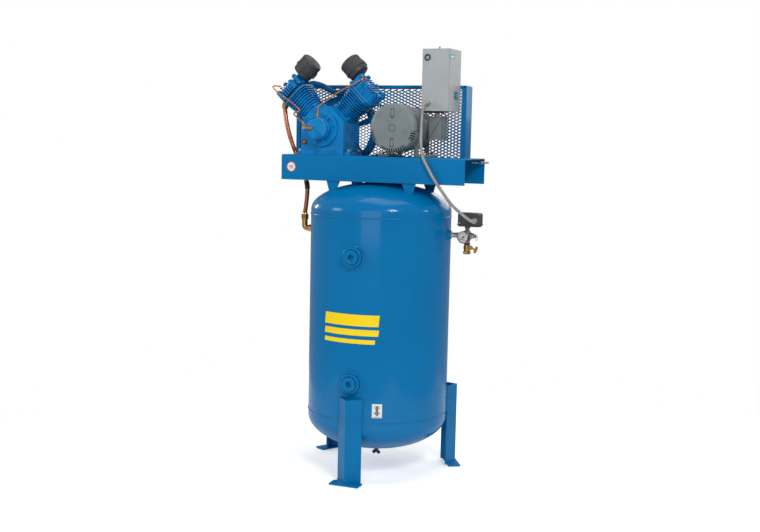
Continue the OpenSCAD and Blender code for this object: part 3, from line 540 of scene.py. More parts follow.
def make_tank():
    p = Piece("tank")
    p.tyre(TANK_R - 4, TANK_R, SEAM_LOW + 0.5, SEAM_HIGH - 0.5, 160)
    seam = radians(128)
    at = ((TANK_R - 0.4) * cos(seam), (TANK_R - 0.4) * sin(seam))
    p.tube([(at[0], at[1], SEAM_LOW + 2 + k * 3.4) for k in range(251)], 2.4, 8,
           ripple=0.14, waves=120)
    p.make("shell_skin", "base", "tank_shell", bevel=0)
    down = Matrix.Scale(-1, 4, (0, 0, 1))
    for z, turn, flange, depth, name, node in (
            (SEAM_HIGH, HOME, 19, 121, "top_head_skin", "top_head"),
            (SEAM_LOW, down, 24, 143, "bottom_head_skin", "bottom_head")):
        p = Piece("tank", moved(0, 0, z) @ turn)
        p.lathe(dish(flange, depth), 160, ring=True)
        p.at(HOME).tube(ring_path(TANK_R - 0.5, z, 480), 3.0, 8, loop=True, ripple=0.12, waves=230)
        p.make(name, "base", node, bevel=0)


def fillet_weld(p, r, bead, n=144):
    """Weld bead where a round coupling of radius r meets the tank, +Z outward."""
    path = []
    for k in range(n):
        a = TAU * k / n
        x, y = (r + bead * 0.5) * cos(a), (r + bead * 0.5) * sin(a)
        path.append((x, y, sqrt(TANK_R ** 2 - x * x) + bead * 0.3))
    p.tube(path, bead, 8, loop=True, ripple=0.1, waves=48)


def make_couplings():
    p = Piece("tank")
    for z in (425, 955):
        p.place = FRONT @ turned(x=90, at=(0, 0, z))
        p.lathe([(31, 290), (40, 290), (42, 294), (42, 323.5), (38.8, 326.8), (33.5, 326.8),
                 (31, 324)], 64, ring=True)
        fillet_weld(p, 42, 5.5)
    for s in (-1, 1):
        p.place = PORTS @ turned(y=90 * s, at=(0, 0, 1040))
        p.lathe([(13.2, 294), (20, 294), (20, 314.5), (17.6, 316.8), (14.5, 316.8),
                 (13.2, 315.4)], 48, ring=True)
        path = []
        for k in range(96):
            a = TAU * k / 96
            y, x = 22 * cos(a), 22 * sin(a)
            path.append((x, y, sqrt(TANK_R ** 2 - y * y) + 1))
        p.tube(path, 3.4, 8, loop=True, ripple=0.1, waves=36)
    p.at(HOME).lathe([(8.1, 84), (18.6, 84), (20, 85.5), (20, 106), (8.1, 106)], 48, ring=True)
    p.tube(ring_path(21.5, 94.5, 96, 0.1), 3.4, 8, loop=True, ripple=0.1, waves=36)
    p.make("couplings_welded", "base", "tank_couplings", bevel=0.4)


def square(side, turn, n=4):
    """Square outline turned by degrees, corner order counter-clockwise."""
    return circle(side / sqrt(2), n, start=radians(45 + turn))


def make_plugs():
    p = Piece("tank")
    for z, turn in ((425, 20), (955, -28)):
        p.at(FRONT @ turned(x=90, at=(0, 0, z))).disc(30.8, 300, 320, 64)
        p.prism(circle(30.8, 64), 319.5, 331.5, holes=[square(22, turn)])
        p.prism(circle(29.4, 64), 331.4, 332.8, holes=[square(23.2, turn)])
        for k in range(4):
            p.tyre(30.0, 30.9, 327 + k * 0.9, 327.4 + k * 0.9, 64)
    p.make("plugs_turned", "base", "inspection_plugs", bevel=0.7)


def leg_outline(w=76, t=6, corner=359.2):
    c = cos(math.pi / 4)
    k = t * sqrt(2)
    out = [(0, 0), (w * c, w * c), ((w - t) * c, (w + t) * c), (4, k + 4), (0, k + 1.8),
           (-4, k + 4), (-(w - t) * c, (w + t) * c), (-w * c, w * c)]
    return [(x, y - corner) for x, y in out]


def make_legs():
    p = Piece("sheet")
    for k in range(3):
        p.at(FRONT @ turned(z=120 * k)).prism(leg_outline(), 7.5, 362)
        foot = [(65, -315.8), (-65, -315.8), (-65, -369.8), (65, -369.8)]
        p.prism(foot, 0, 8, holes=[circle(7, 28, 0, -333)])
        for s in (-1, 1):
            path = [(s * 54.2, -300.4, 256 + 2.6 * i) for i in range(41)]
            p.tube(path, 3.8, 8, ripple=0.12, waves=18)
            run = [(s * 53 * i / 24, -361.6 + 53 * i / 24, 9.2) for i in range(25)]
            p.tube(run, 3.0, 8, ripple=0.12, waves=11)
    p.make("legs_welded", "base", "tank_legs", bevel=0.9)


def make_drain():
    p = Piece("dark", moved(0, 0, 84))
    p.hexagon(17.6, -17.6, -7)
    p.disc(9, -10, -0.4, 32, 0.6)
    p.threads(7.8, -1, 12)
    p.make("drain_cock_body", "base", "drain_valve_body", bevel=0.4)
    p = Piece("black", moved(0, 0, 65.6))
    p.lathe([(3.9, 12), (3.9, 0), (8, 0), (9, -1), (9, -7), (7.6, -8), (0.01, -8)], 32)
    for s in (-1, 1):
        p.place = turned(x=90, at=(s * 11, 0, 57))
        p.lathe([(0.01, -1.6), (4.6, -1.8), (6.6, -3), (8, -2.2), (8, 2.2), (6.6, 3),
                 (4.6, 1.8), (0.01, 1.6)], 32)
    p.make("drain_cock_wings", "drain_wings", "drain_valve_wings", bevel=0.3)


def make_saddles():
    p = Piece("sheet")
    flange, high = 1257, 1257 + 30

    def dome(x, y):
        r = math.hypot(x, y)
        return 1134 + 121 * sqrt(1 - (r / TANK_R) ** 2)
    for sx in (-1, 1):
        for y in (-130, 124):
            rows = []
            n = 24
            for i in range(n + 1):
                x = sx * 174 - 18 + 36 * i / n
                rows.append((x, dome(x, y + 3) - 1))
            mid = sx * 174
            outline = rows + [(mid + 31, flange), (mid + 31, high), (mid - 31, high),
                              (mid - 31, flange)]
            p.at(turned(x=90, at=(0, y + 6, 0))).prism(outline, 0, 6)
            p.place = HOME
            for dy in (-1.5, 7.5):
                p.tube([(x, y + dy, dome(x, y + dy) + 0.8) for x, _ in rows], 3.2, 8,
                       ripple=0.12, waves=10)
    p.make("saddles_welded", "base", "tank_saddles", bevel=0.8)


# ---------- platform ----------


def bend(cx, cy, r, a0, a1, n=6):
    return [(cx + r * cos(radians(a0 + (a1 - a0) * k / n)),
             cy + r * sin(radians(a0 + (a1 - a0) * k / n))) for k in range(n + 1)]


def cut(obj, cutter):
    """Cuts cutter's shape out of obj and removes cutter."""
    mod = obj.modifiers.new("hole", "BOOLEAN")
    mod.operation = "DIFFERENCE"
    mod.solver = "EXACT"
    mod.object = cutter
    obj.modifiers.move(len(obj.modifiers) - 1, 0)
    edges = [m for m in obj.modifiers if m.type == "BEVEL"]
    for m in edges:
        m.show_viewport = False
    bpy.context.view_layer.update()
    graph = bpy.context.evaluated_depsgraph_get()
    mesh = bpy.data.meshes.new_from_object(obj.evaluated_get(graph))
    obj.modifiers.remove(mod)
    for m in edges:
        m.show_viewport = True
    mesh.name = obj.data.name
    obj.data = mesh
    mesh.set_sharp_from_angle(angle=radians(SHARP))
    bpy.data.objects.remove(cutter)


def cutter(fill):
    """Throwaway object that cut() takes away again; fill draws into its piece."""
    p = Piece("ink")
    fill(p)
    p.mats = []  # the cut faces keep the material of the piece
    obj = bpy.data.objects.new("cutter", p.mesh("cutter", weld=0))
    bpy.context.scene.collection.objects.link(obj)
    return obj


def make_pan():
    p = Piece("sheet")
    outline = ([(-135, 1257)] + bend(-127, 1358, 8, 180, 90) + bend(127, 1358, 8, 90, 0)
               + [(135, 1257), (130, 1257)] + bend(127, 1358, 3, 0, 90)
               + bend(-127, 1358, 3, 90, 180) + [(-130, 1257)])
    p.at(ALONG_X).prism(outline, -420, 420)
    p.at(HOME).box((402, 107, 1337), (408, 129.5, 1361.5))
    obj = p.make("pan_folded", "base", "base_pan", bevel=0.8)

    def holes(c):
        c.place = moved(-402, -31, 0)
        c.disc(17, 1340, 1390, 40)
        c.place = turned(y=90, at=(0, 118, 1349))
        c.disc(5.2, 398, 412, 24)
    cut(obj, cutter(holes))
    p = Piece("red", turned(x=90, at=(-372, -135, 1313)))
    p.tyre(18.6, 22, 0.05, 0.45, 64)
    p.use("white")
    p.disc(18.6, 0.02, 0.40, 64)
    p.use("red")
    for dy, w in ((4, 20), (-1, 23), (-6, 16)):
        p.prism(rounded(w, 2.2, 0.8, 3, 0, dy), 0.3, 0.6)
    p.make("platform_sticker", "base", bevel=0)


# ---------- pump ----------

PUMP_X, PUMP_Z = -255, 1477  # crank's axis
DECK_Z = 1366                # top of the platform
AT_CRANK = turned(x=90, at=(PUMP_X, 0, PUMP_Z))
BANK_Y = {-1: -3, 1: 19}


def bank(side):
    """Placement on a bank of the V: +Z out along the cylinder, +X to the inside."""
    mirror = Matrix.Scale(-1, 4, (1, 0, 0)) if side > 0 else Matrix.Identity(4)
    return (moved(PUMP_X, BANK_Y[side], PUMP_Z) @ mirror
            @ Matrix.Rotation(radians(-45), 4, "Y"))


def make_crankcase():
    p = Piece("cast", AT_CRANK)
    half, s = 101, 33.35  # half width of the case, and where the slope to a bank begins
    shape = [(-half, -111), (half, -111), (half, s), (s, half), (-s, half), (-half, s)]
    p.prism(shape, -98, 76)
    p.lathe([(0.01, 76), (84, 76), (84, 79), (82, 81), (0.01, 81)], 72)
    p.disc(48, -120, -97, 48, 2)
    p.at(moved(PUMP_X, 11, DECK_Z)).prism(rounded(254, 150, 16), 0, 14)
    for x in (-1, 1):
        for y in (-57, 57):
            p.at(moved(PUMP_X + x * 116, 11 + y, 1380)).disc(15, 0, 2.5, 32, 0.8)
        for y in (-27, 33):
            p.place = turned(x=90, at=(PUMP_X, 11 + y, 1380))
            p.prism([(x * 100, -1), (x * 122, -1), (x * 100, 40)], 0, 6)
    # cover on each side wall, with its rim and screws
    for x in (-1, 1):
        p.at(turned(y=90 * x, at=(PUMP_X + x * half, 11, 1452))).prism(rounded(74, 96, 8), -2, 5)
        p.prism(rounded(60, 82, 8), 4, 7)
        for dz in (-31, 31):
            for dy in (-42, 42):
                p.at(turned(y=90 * x, at=(PUMP_X + x * 106, 11 + dy, 1452 + dz))).bolt(9, 5)
    for side in (-1, 1):
        p.at(bank(side)).prism(cut_rect(104, 116, 12), 82, 95)
    # raised edge where each bank's deck meets the front wall
    p.place = AT_CRANK
    for x in (-1, 1):
        p.prism([(x * half, -97), (x * half, s), (x * s, half), (x * (s - 4), 97),
                 (x * 95, s - 2), (x * 95, -97)], 75.5, 79)
    casting = p.make("crankcase_casting", "base", "crankcase", bevel=2.0, steps=3)

    def cavity(c):
        c.place = AT_CRANK
        c.prism([(-95, -105), (95, -105), (95, 30.9), (30.9, 95), (-30.9, 95), (-95, 30.9)],
                -92, 70)

    cut(casting, cutter(cavity))
    for side in (-1, 1):
        cut(casting, cutter(lambda c: c.at(bank(side)).disc(45.4, 20, 130, 64)))


def make_pump_front():
    p = Piece("cast", AT_CRANK)
    p.lathe([(0.01, 76), (73, 76), (75, 78), (75, 86), (72.5, 88.5), (55, 88.5), (52.5, 91),
             (51, 95), (50, 113), (47, 116), (0.01, 116)], 72)
    for k in range(6):
        a = radians(60 * k + 12)
        p.at(AT_CRANK @ moved(*polar(64, a, 88))).bolt(11, 7)
    for k in range(3):
        p.place = AT_CRANK @ turned(z=120 * k + 50)
        p.prism([(49, -4), (62, -3), (62, 3), (49, 4)], 88, 104)
    p.place = moved(-263, -102, PUMP_Z)
    p.disc(9, 44, 52, 32, 0.8)
    p.make("cover_turned", "base", "front_cover", bevel=0.8)
    p = Piece("cast", AT_CRANK)
    p.lathe([(0.01, 115.5), (45, 115.5), (47, 117.5), (47, 129), (43.5, 134), (36, 136),
             (16, 136), (14, 134.6), (0.01, 134.6)], 72)
    for k in range(4):
        a = radians(90 * k + 45)
        p.at(AT_CRANK @ moved(*polar(38, a, 134.6))).disc(4.4, 0, 1.4, 20, 0.5)
    p.make("oil_pump_cap", "base", "oil_pump_housing", bevel=0.6)
    p = Piece("ink", turned(x=90, at=(-339, -76, 1421)))
    p.lathe([(7.5, 0), (10, 0), (10, 5.6), (9, 7), (7.5, 7), (7, 4.6)], 40, ring=True)
    p.use("orange")
    p.disc(7.4, 0, 5.6, 32, 0.8)
    p.make("oil_sight", "base", "sight_glass", bevel=0.4)


def make_cylinder(side, name, node):
    p = Piece("cast", bank(side))
    p.disc(44, 87, 97, 64)
    p.prism(cut_rect(95, 108, 8), 95, 104)
    p.lathe([(47, 103), (47, 211)], 64)
    for i in range(8):
        p.prism(cut_rect(98 + 3.4 * i, 110 + 2 * i, 22), 111 + 12 * i, 114.4 + 12 * i)
    p.prism(cut_rect(126, 126, 18), 204, 212)
    for x in (-40, 40):
        for y in (-46, 46):
            p.at(bank(side) @ moved(x, y, 104)).bolt(13, 8)
    p.make(name, "base", node, bevel=1.0)


HEAD_BOLTS = ((-52, -42), (52, -42), (-52, 42), (52, 42), (0, -50), (0, 50))


def make_head(side, name, node):
    p = Piece("cast", bank(side))
    p.prism(cut_rect(140, 128, 16), 217, 227)
    p.prism(cut_rect(128, 112, 12), 226, 262)
    for x in range(-36, 37, 12):
        p.prism([(x - 2.6, -61), (x + 2.6, -61), (x + 2.6, 61), (x - 2.6, 61)], 226, 266)
        p.prism([(x - 1.7, -60), (x + 1.7, -60), (x + 1.7, 60), (x - 1.7, 60)], 265, 272)
    for x in (-1, 1):
        p.prism([(x * 47, -56), (x * 64, -46), (x * 64, 46), (x * 47, 56)], 255, 267)
        for y in (-20, 20):
            p.prism([(x * 44, y - 2), (x * 68, y - 2), (x * 68, y + 2), (x * 44, y + 2)], 226, 270)
    for x, y in HEAD_BOLTS:
        p.at(bank(side) @ moved(x, y, 0)).disc(10.5, 226, 271.6, 32, 1)
    p.at(bank(side) @ moved(25, -52, 0)).disc(8, 226, 271.8, 32, 1)
    p.at(bank(side) @ turned(y=90, at=(0, -4, 266))).disc(13, 50, 70, 40, 1)
    obj = p.make(name, "base", node, bevel=1.0)
    if side < 0:
        def port(c):
            c.place = bank(-1) @ turned(y=90, at=(0, -4, 243))
            c.disc(22, -90, -57, 48)
        cut(obj, cutter(port))


def make_head_hardware():
    p = Piece("cast")
    for side in (-1, 1):
        for x, y in HEAD_BOLTS:
            p.at(bank(side) @ moved(x, y, 271.6)).bolt(15, 8.2)
    p.make("head_bolts_hex", "base", "head_bolts", bevel=0.4)
    p = Piece("dark")
    for side in (-1, 1):
        p.at(bank(side)).prism(cut_rect(124, 124, 18), 212.1, 216.9)
        p.prism(cut_rect(126, 125, 17), 212.1, 213.0)
        p.prism(cut_rect(126, 125, 17), 216.0, 216.9)
    p.make("valve_plates_gasketed", "base", "valve_plates", bevel=0.3)


def fluted(p, r, depth, n, z0, z1):
    """Cylinder with n shallow flutes down its side."""
    outline = []
    for k in range(n * 4):
        dip = depth if k % 4 in (2, 3) else 0
        a = TAU * k / (n * 4)
        outline.append(polar(r - dip, a))
    p.prism(outline, z0, z1)


def make_filters():
    p = Piece("black")
    for side in (-1, 1):
        place = bank(side) @ turned(y=90, at=(68, -4, 266))
        p.at(place).disc(11, 2.2, 6, 32)
        p.lathe([(0.01, 5), (38, 5), (44, 8), (45.5, 12), (45.5, 30), (0.01, 30)], 96)
        p.lathe([(44, 29), (48.8, 29), (50, 30.5), (50, 37), (48.8, 38.5), (44, 38.5)], 96)
        fluted(p, 47.8, 0.7, 44, 38, 70)
        p.lathe([(46, 69.5), (48, 70), (48.4, 72), (48, 76), (45.6, 81.5), (41, 84.6),
                 (34, 86), (30, 85.4), (10, 84.6), (7, 86), (0.01, 86)], 96)
        for k in range(3):
            p.place = place @ turned(z=120 * k + 150)
            p.prism([(47, -7), (51.4, -6), (51.4, 6), (47, 7)], 20, 52)
            p.prism([(46, -5), (53.0, -4), (53.0, 4), (46, 5)], 30, 38)
    p.make("filter_canisters", "base", "intake_filters", bevel=0.7)


CROSS_ROUTE = [
    (-407, 54, 1668.6), (-407, 66, 1668.8), (-403, 82, 1673), (-384, 98, 1681),
    (-340, 103, 1670), (-298, 103, 1650), (-255, 103, 1638), (-212, 103, 1650),
    (-170, 103, 1670), (-130, 103, 1680), (-112, 99, 1675), (-103, 88, 1668.8),
    (-103, 76, 1668.6)]
LINE_A = [
    (-263, -102, 1546), (-263, -102, 1566), (-254, -101, 1580), (-236, -97, 1592),
    (-200, -88, 1620), (-160, -78, 1646), (-112, -63, 1673), (-90, -53, 1687),
    (-79, -45, 1694), (-74, -34, 1694)]
LINE_B = [
    (-308, -146, 1494), (-320, -138, 1506), (-350, -116, 1520), (-380, -92, 1535),
    (-389, -84, 1541), (-384, -82, 1547), (-366, -84, 1551), (-361, -84, 1557),
    (-371, -84, 1568), (-410, -84, 1596), (-450, -82, 1620), (-490, -76, 1648),
    (-499, -72, 1658), (-492, -66, 1663), (-474, -58, 1661)]


def make_pump_tubes():
    # the crossover pipe wears the darker copy of the cast paint: painted shade
    p = Piece("shade")
    p.tube(smooth_route(CROSS_ROUTE, 6), 13, 24)
    for at in (CROSS_ROUTE[0], CROSS_ROUTE[-1]):
        p.at(turned(x=-90, at=at)).prism(rounded(58, 30, 14), 0, 8)
        for x in (-21, 21):
            p.at(turned(x=-90, at=at) @ moved(x, 0, 8)).bolt(11, 7)
    p.make("crossover_pipe", "base", "crossover_tube", bevel=0.6)
    p = Piece("line")
    p.tube(smooth_route(LINE_A, 8), 3.2, 14)
    p.tube(smooth_route(LINE_B, 8), 3.2, 14)
    p.make("oil_lines", "base", "unloader_tubes", bevel=0)

# ---------- motor ----------

MOTOR_X, MOTOR_Z = 96, 1487.5  # motor's axis
AT_MOTOR = turned(x=90, at=(MOTOR_X, 0, MOTOR_Z))


def wedge(p, r0, r1, a0, a1, z0, z1, n=4):
    """Sector of a ring between two angles in degrees."""
    outer = [polar(r1, radians(a0 + (a1 - a0) * k / n)) for k in range(n + 1)]
    inner = [polar(r0, radians(a1 + (a0 - a1) * k / n)) for k in range(n + 1)]
    p.prism(outer + inner, z0, z1)


def make_motor():
    p = Piece("motor", AT_MOTOR)
    p.tyre(88, 92, -110, 70, 96)
    for z in (-96, 56):
        p.lathe([(91, z - 3), (92.8, z - 1.5), (92.8, z + 1.5), (91, z + 3)], 96)
    p.at(AT_MOTOR @ turned(z=90)).prism([(91, -9), (97, -7), (97, 7), (91, 9)], -30, 10)
    p.make("motor_barrel", "base", "motor_frame", bevel=0.6)
    p = Piece("motor", AT_MOTOR)
    p.lathe([(18, 82), (18, 92), (38, 92), (40, 90), (40, 84), (60, 80), (90, 80), (92, 78),
             (92, 70), (60, 70), (31.2, 70), (31.2, 82)], 96, ring=True)
    p.lathe([(18, -133), (40, -133), (42, -131), (42, -124), (66, -121), (88, -121),
             (92, -117), (92, -110), (31.2, -110), (31.2, -128), (18, -128)], 96, ring=True)
    for k in range(4):
        a = radians(45 + 90 * k)
        p.at(AT_MOTOR @ turned(x=180, at=polar(82, a, -121))).bolt(10, 6)
    p.make("motor_bells", "base", "motor_end_bells", bevel=0.8)


def make_fan_cover():
    p = Piece("motor", AT_MOTOR)
    r = 102
    p.lathe([(r - 2.2, 54), (r, 54), (r, 112), (r - 1.2, 115), (r - 2.6, 115), (r - 2.6, 112)],
            128, ring=True)
    p.tyre(92.1, r - 1, 54, 57, 96)
    p.lathe([(0.01, 134), (0.01, 136), (83, 136), (86, 135.7), (86, 133.6)], 128)
    rim = ((86, 135.7), (93, 135.0), (98, 132.6), (101, 127), (102, 118), (102, 112),
           (99.4, 112), (99.4, 118), (98.4, 125.4), (96, 130), (92, 132.2), (86, 133))
    bars = 56
    slots = ((187, 219), (236, 306), (326, 356))
    for k in range(bars):
        start = 360 * k / bars
        middle = (start + 180 / bars) % 360
        gap = 3.7 if any(a < middle < b for a, b in slots) else 0.0
        angles = [radians(start + gap / 2 + (360 / bars - gap) * t / 3) for t in range(4)]
        p.loft([[polar(rr, g, z) for rr, z in rim] for g in angles])
    # painted shade: a black ring behind the slots stands in for the shaded inside of the cover
    p.use("ink")
    p.tyre(78, 99.2, 112.5, 114, 96)
    # painted shade: dark patches on the face stand in for the shaded openings of the louvres and
    # small slots
    p.use("dark")
    for s in (-1, 1):
        p.at(AT_MOTOR @ moved(0, s * 63, 136.0)).prism(rounded(17.2, 39, 6, 4), 0, 0.2)
        p.at(AT_MOTOR @ moved(0, s * 43, 136.0)).prism(rounded(12, 4, 1.5, 3), 0, 0.5)
    p.place = AT_MOTOR
    p.tyre(12.2, 15.4, 135.8, 136.3, 48)
    # painted shade: dark wedges on the side wall stand in for slots there, which are not cut
    for k in range(9):
        start = -8 + 4.6 * k
        wedge(p, 101.2, 102.15, start, start + 2.2, 76, 108)
    p.use("motor")
    p.tyre(13.2, 14.4, 135.6, 137.0, 48)
    for s in (-1, 1):
        p.place = AT_MOTOR @ moved(s * 35, 2, 135.8)
        p.prism([(-6, -1), (6, -1), (3, 2.2), (-3, 2.2)], 0, 0.9)
    for s in (-1, 1):
        p.place = AT_MOTOR @ moved(0, s * 63, 0)
        rows = []
        for i in range(9):
            t = i / 8
            half = 7.6 * sin(math.pi * (0.12 + 0.76 * t)) + 0.4
            y = (t - 0.5) * 37
            lift = 136 + 3.2 * sin(math.pi * t)
            rows.append([(-half, y, 135.4), (half, y, 135.4), (half * 0.5, y, lift),
                         (-half * 0.5, y, lift)])
        p.loft(rows)
    for k in range(4):
        a = 45 + 90 * k
        p.at(AT_MOTOR @ turned(z=a) @ turned(y=90, at=(101.4, 0, 64))).bolt(8, 4.2)
    p.make("fan_cover_pressed", "base", "fan_cover", bevel=0.5)
    p = Piece("ink", AT_MOTOR)
    p.disc(78, 98, 101, 64)
    p.disc(26, 98, 118, 48, 2)
    for k in range(9):
        a = 40 * k
        p.at(AT_MOTOR @ turned(z=a)).box((20, -1.5, 100), (78, 1.5, 118))
    p.make("fan_wheel", "motor_rotor", "cooling_fan", bevel=0.5)


def make_motor_base():
    p = Piece("motor")
    for s in (-1, 1):
        x = MOTOR_X + s * 82
        p.at(moved(x, 53, DECK_Z)).prism(rounded(54, 158, 8), 0, 9.8)
        for y in (-73, 59):
            p.place = turned(x=90, at=(0, 53 + y + 14, DECK_Z))
            xs = sorted((MOTOR_X + s * 55, MOTOR_X + s * 73))
            tops = [MOTOR_Z - sqrt(92.3 ** 2 - (v - MOTOR_X) ** 2) - DECK_Z for v in xs]
            p.prism([(xs[0], 9), (xs[1], 9), (xs[1], tops[1]), (xs[0], tops[0])], 0, 14)
    p.make("motor_base_feet", "base", "motor_feet", bevel=1.2)
    p = Piece("motor", moved(229, 53, 0))
    p.prism(rounded(62, 58, 5), 1442, 1540)
    p.at(turned(y=90, at=(0, 53, MOTOR_Z))).disc(15.9, 186, 199, 40)
    p.place = HOME
    p.use("ink")
    p.box((259.2, 23.4, 1441.4), (260.6, 82.6, 1540.6))
    p.use("motor")
    p.at(turned(y=90, at=(260.6, 53, 1491))).prism(rounded(102, 62, 5), 0, 2.0)
    p.prism(rounded(86, 46, 5), 1.5, 3.4)
    for sx in (-1, 1):
        for sy in (-1, 1):
            p.place = turned(y=90, at=(262.4, 53 + sy * 25.5, 1491 + sx * 45.5))
            p.disc(3.4, 0, 2.2, 20, 0.6)
    p.place = HOME
    p.use("ink")
    p.tube([(203, 23.8, 1447), (256, 23.8, 1534)], 0.9, 8)
    p.tube([(228, 23.8, 1488), (232, 23.8, 1493)], 1.8, 8)
    p.make("junction_case", "base", "junction_box", bevel=1.0)


FLY_Y, FLY_W = 148, 50
BELTS = (163, 183)


def wheel_profile(r, bore_in):
    """Closed profile of a two-groove rim, z from 0 to the rim's width."""
    out = [(bore_in, 0), (r - 1, 0), (r, 1)]
    for y in BELTS:
        z = y - FLY_Y
        out += [(r, z - 7.2), (r - 10.5, z - 4), (r - 10.5, z + 4), (r, z + 7.2)]
    out += [(r, FLY_W - 1), (r - 1, FLY_W), (bore_in, FLY_W)]
    return out


def make_drive():
    back = turned(x=-90, at=(PUMP_X, FLY_Y, PUMP_Z))
    p = Piece("cast", back)
    p.lathe(wheel_profile(155, 132), 128, ring=True)
    p.lathe([(17, 2), (32, 0), (34, 2), (34, 46), (31, 50), (17, 50)], 64, ring=True)
    for k in range(5):
        p.place = back @ turned(z=-72 * k - 20)
        rows = []
        for t in range(7):
            x = 31 + (134 - 31) * t / 6
            half = 15 - 5 * sin(math.pi * t / 6)
            rows.append([(x, -half, 15), (x, half, 15), (x, half * 0.7, 35), (x, -half * 0.7, 35)])
        p.loft(rows)
    p.make("flywheel_cast", "crank", "flywheel", bevel=1.4, steps=3)
    p = Piece("dark", turned(x=-90, at=(MOTOR_X, FLY_Y, MOTOR_Z)))
    p.lathe(wheel_profile(52, 14.3), 96, ring=True)
    p.make("pulley_turned", "motor_rotor", "motor_pulley", bevel=0.6)
    p = Piece("rubber")
    run, rise = MOTOR_X - PUMP_X, MOTOR_Z - PUMP_Z
    gap = math.hypot(run, rise)
    lean = math.degrees(math.atan2(rise, run))
    for y in BELTS:
        rings = []
        for g, half in ((0.4, 6.2), (-0.2, 6.6), (-4.4, 5.0), (-4.4, -5.0), (-0.2, -6.6),
                        (0.4, -6.2)):
            big, small = 155 + g, 52 + g
            opening = math.acos((big - small) / gap)
            loop = []
            for k in range(73):
                a = opening + (TAU - 2 * opening) * k / 72
                loop.append(polar(big, a))
            for k in range(25):
                a = -opening + 2 * opening * k / 24
                loop.append((gap + small * cos(a), small * sin(a)))
            rings.append([(x, z, -half) for x, z in loop])
        p.at(turned(x=90, at=(PUMP_X, y, PUMP_Z)) @ turned(z=lean)).loft(rings, loop=True)
    p.make("belts_moulded", "base", "v_belts", bevel=0)


# ---------- belt guard ----------

GUARD = (-486, 135, 1300, 329, 213, 1676)


def make_guard():
    x0, y0, z0, x1, y1, z1 = GUARD
    t, lip, slim = 2, 20, 13
    p = Piece("sheet", Matrix(((1, 0, 0, 0), (0, 0, 1, 0), (0, 1, 0, 0), (0, 0, 0, 1))))
    cx, cz = (x0 + x1) / 2, (z0 + z1) / 2
    w, h = x1 - x0, z1 - z0
    outer = rounded(w, h, 4, 3, cx, cz)
    p.prism(outer, y0 + 0.6, y1 - 0.6, holes=[rounded(w - 2 * t, h - 2 * t, 2.5, 3, cx, cz)])
    inner = rounded(w - 2 * lip, h - lip - slim, 2, 2, cx, cz + (lip - slim) / 2)
    for a, b in ((y0, y0 + t), (y1 - t, y1)):
        p.prism(outer, a, b, holes=[inner])
    for x in (x0 + 10, cx, x1 - 10):
        for z in (z0 + 10, z1 - 7):
            p.place = turned(x=90, at=(x, y0, z)) if z > 1400 else turned(x=-90, at=(x, y1, z))
            p.disc(4.6, -0.5, 0.0, 24)
    p.make("guard_folded", "base", "guard_frame", bevel=0.7)
    p = Piece("sheet")
    pitch_x, pitch_z = 30.5, 13.4
    strand, thick = 3.0, 2.2
    ix0, ix1 = x0 + lip - 8, x1 - lip + 8
    iz0, iz1 = z0 + lip - 6, z1 - lip + 6
    open_at = {y0 + t + 1.2: [(PUMP_X, PUMP_Z, 52), (MOTOR_X, MOTOR_Z, 46)], y1 - t - 1.6: []}
    for y, holes in open_at.items():
        cols = int((ix1 - ix0) / pitch_x) + 1
        rows = int((iz1 - iz0) / pitch_z) + 1
        verts, faces = [], []

        def strut(a, b, twist):
            """One strand between two knots of the diamond net."""
            ax, az = a
            bx, bz = b
            length = math.hypot(bx - ax, bz - az)
            nx, nz = -(bz - az) / length, (bx - ax) / length
            base = len(verts)
            for (x, z), lift in ((a, -twist), (b, twist)):
                for side, dy in ((-1, -0.5), (1, -0.5), (1, 0.5), (-1, 0.5)):
                    verts.append((x + nx * side * strand / 2, y + dy * thick + lift,
                                  z + nz * side * strand / 2))
            faces.extend([(base + i, base + (i + 1) % 4, base + 4 + (i + 1) % 4, base + 4 + i)
                          for i in range(4)])
        for i in range(cols * 2 + 1):
            for j in range(rows):
                x = ix0 + i * pitch_x / 2
                z = iz0 + (j + (i % 2) / 2) * pitch_z
                for s in (-1, 1):
                    bx, bz = x + pitch_x / 2, z + s * pitch_z / 2
                    if bx > ix1 + 8 or not iz0 - 8 < bz < iz1 + 8 or z > iz1 + 8:
                        continue
                    mid = ((x + bx) / 2, (z + bz) / 2)
                    if any(math.hypot(mid[0] - hx, mid[1] - hz) < hr for hx, hz, hr in holes):
                        continue
                    end = pitch_x * 0.08
                    strut((x + end, z), (bx - end, bz), 0.25 * s)
                if not any(math.hypot(x - hx, z - hz) < hr for hx, hz, hr in holes):
                    strut((x - pitch_x * 0.1, z), (x + pitch_x * 0.1, z), 0.0)
        p.add(verts, faces)
    for hx, hz, hr in open_at[y0 + t + 1.2]:
        p.at(turned(x=-90, at=(hx, y0 + t, hz))).tyre(hr - 4, hr + 6, 0.2, 2.2, 64)
    p.make("guard_diamond_mesh", "base", "guard_mesh", bevel=0)


def make_bolts():
    p = Piece("zinc")
    for x in (-1, 1):
        for y in (-46, 68):
            p.at(moved(PUMP_X + x * 116, y, 1380.2)).bolt(19, 11)
    for x in (-1, 1):
        for y in (-8, 114):
            p.at(moved(MOTOR_X + x * 95, y, 1376)).bolt(16, 9.5)
    p.at(turned(y=90, at=(0, 118, 1349))).threads(5, 368, 442, 1.6, 24)
    p.hexagon(16, 408.2, 416, 0.9)
    p.make("hold_down_bolts", "base", "mounting_bolts", bevel=0.4)


# ---------- starter ----------

BOX = (179, -14, 1562, 301, 132, 1822)
SHEET = 1.6           # thickness of the box's walls
WINDOW = (77, 1630)   # reset button's window, y and z
LABEL = (16, 1790)    # label's middle, y and z


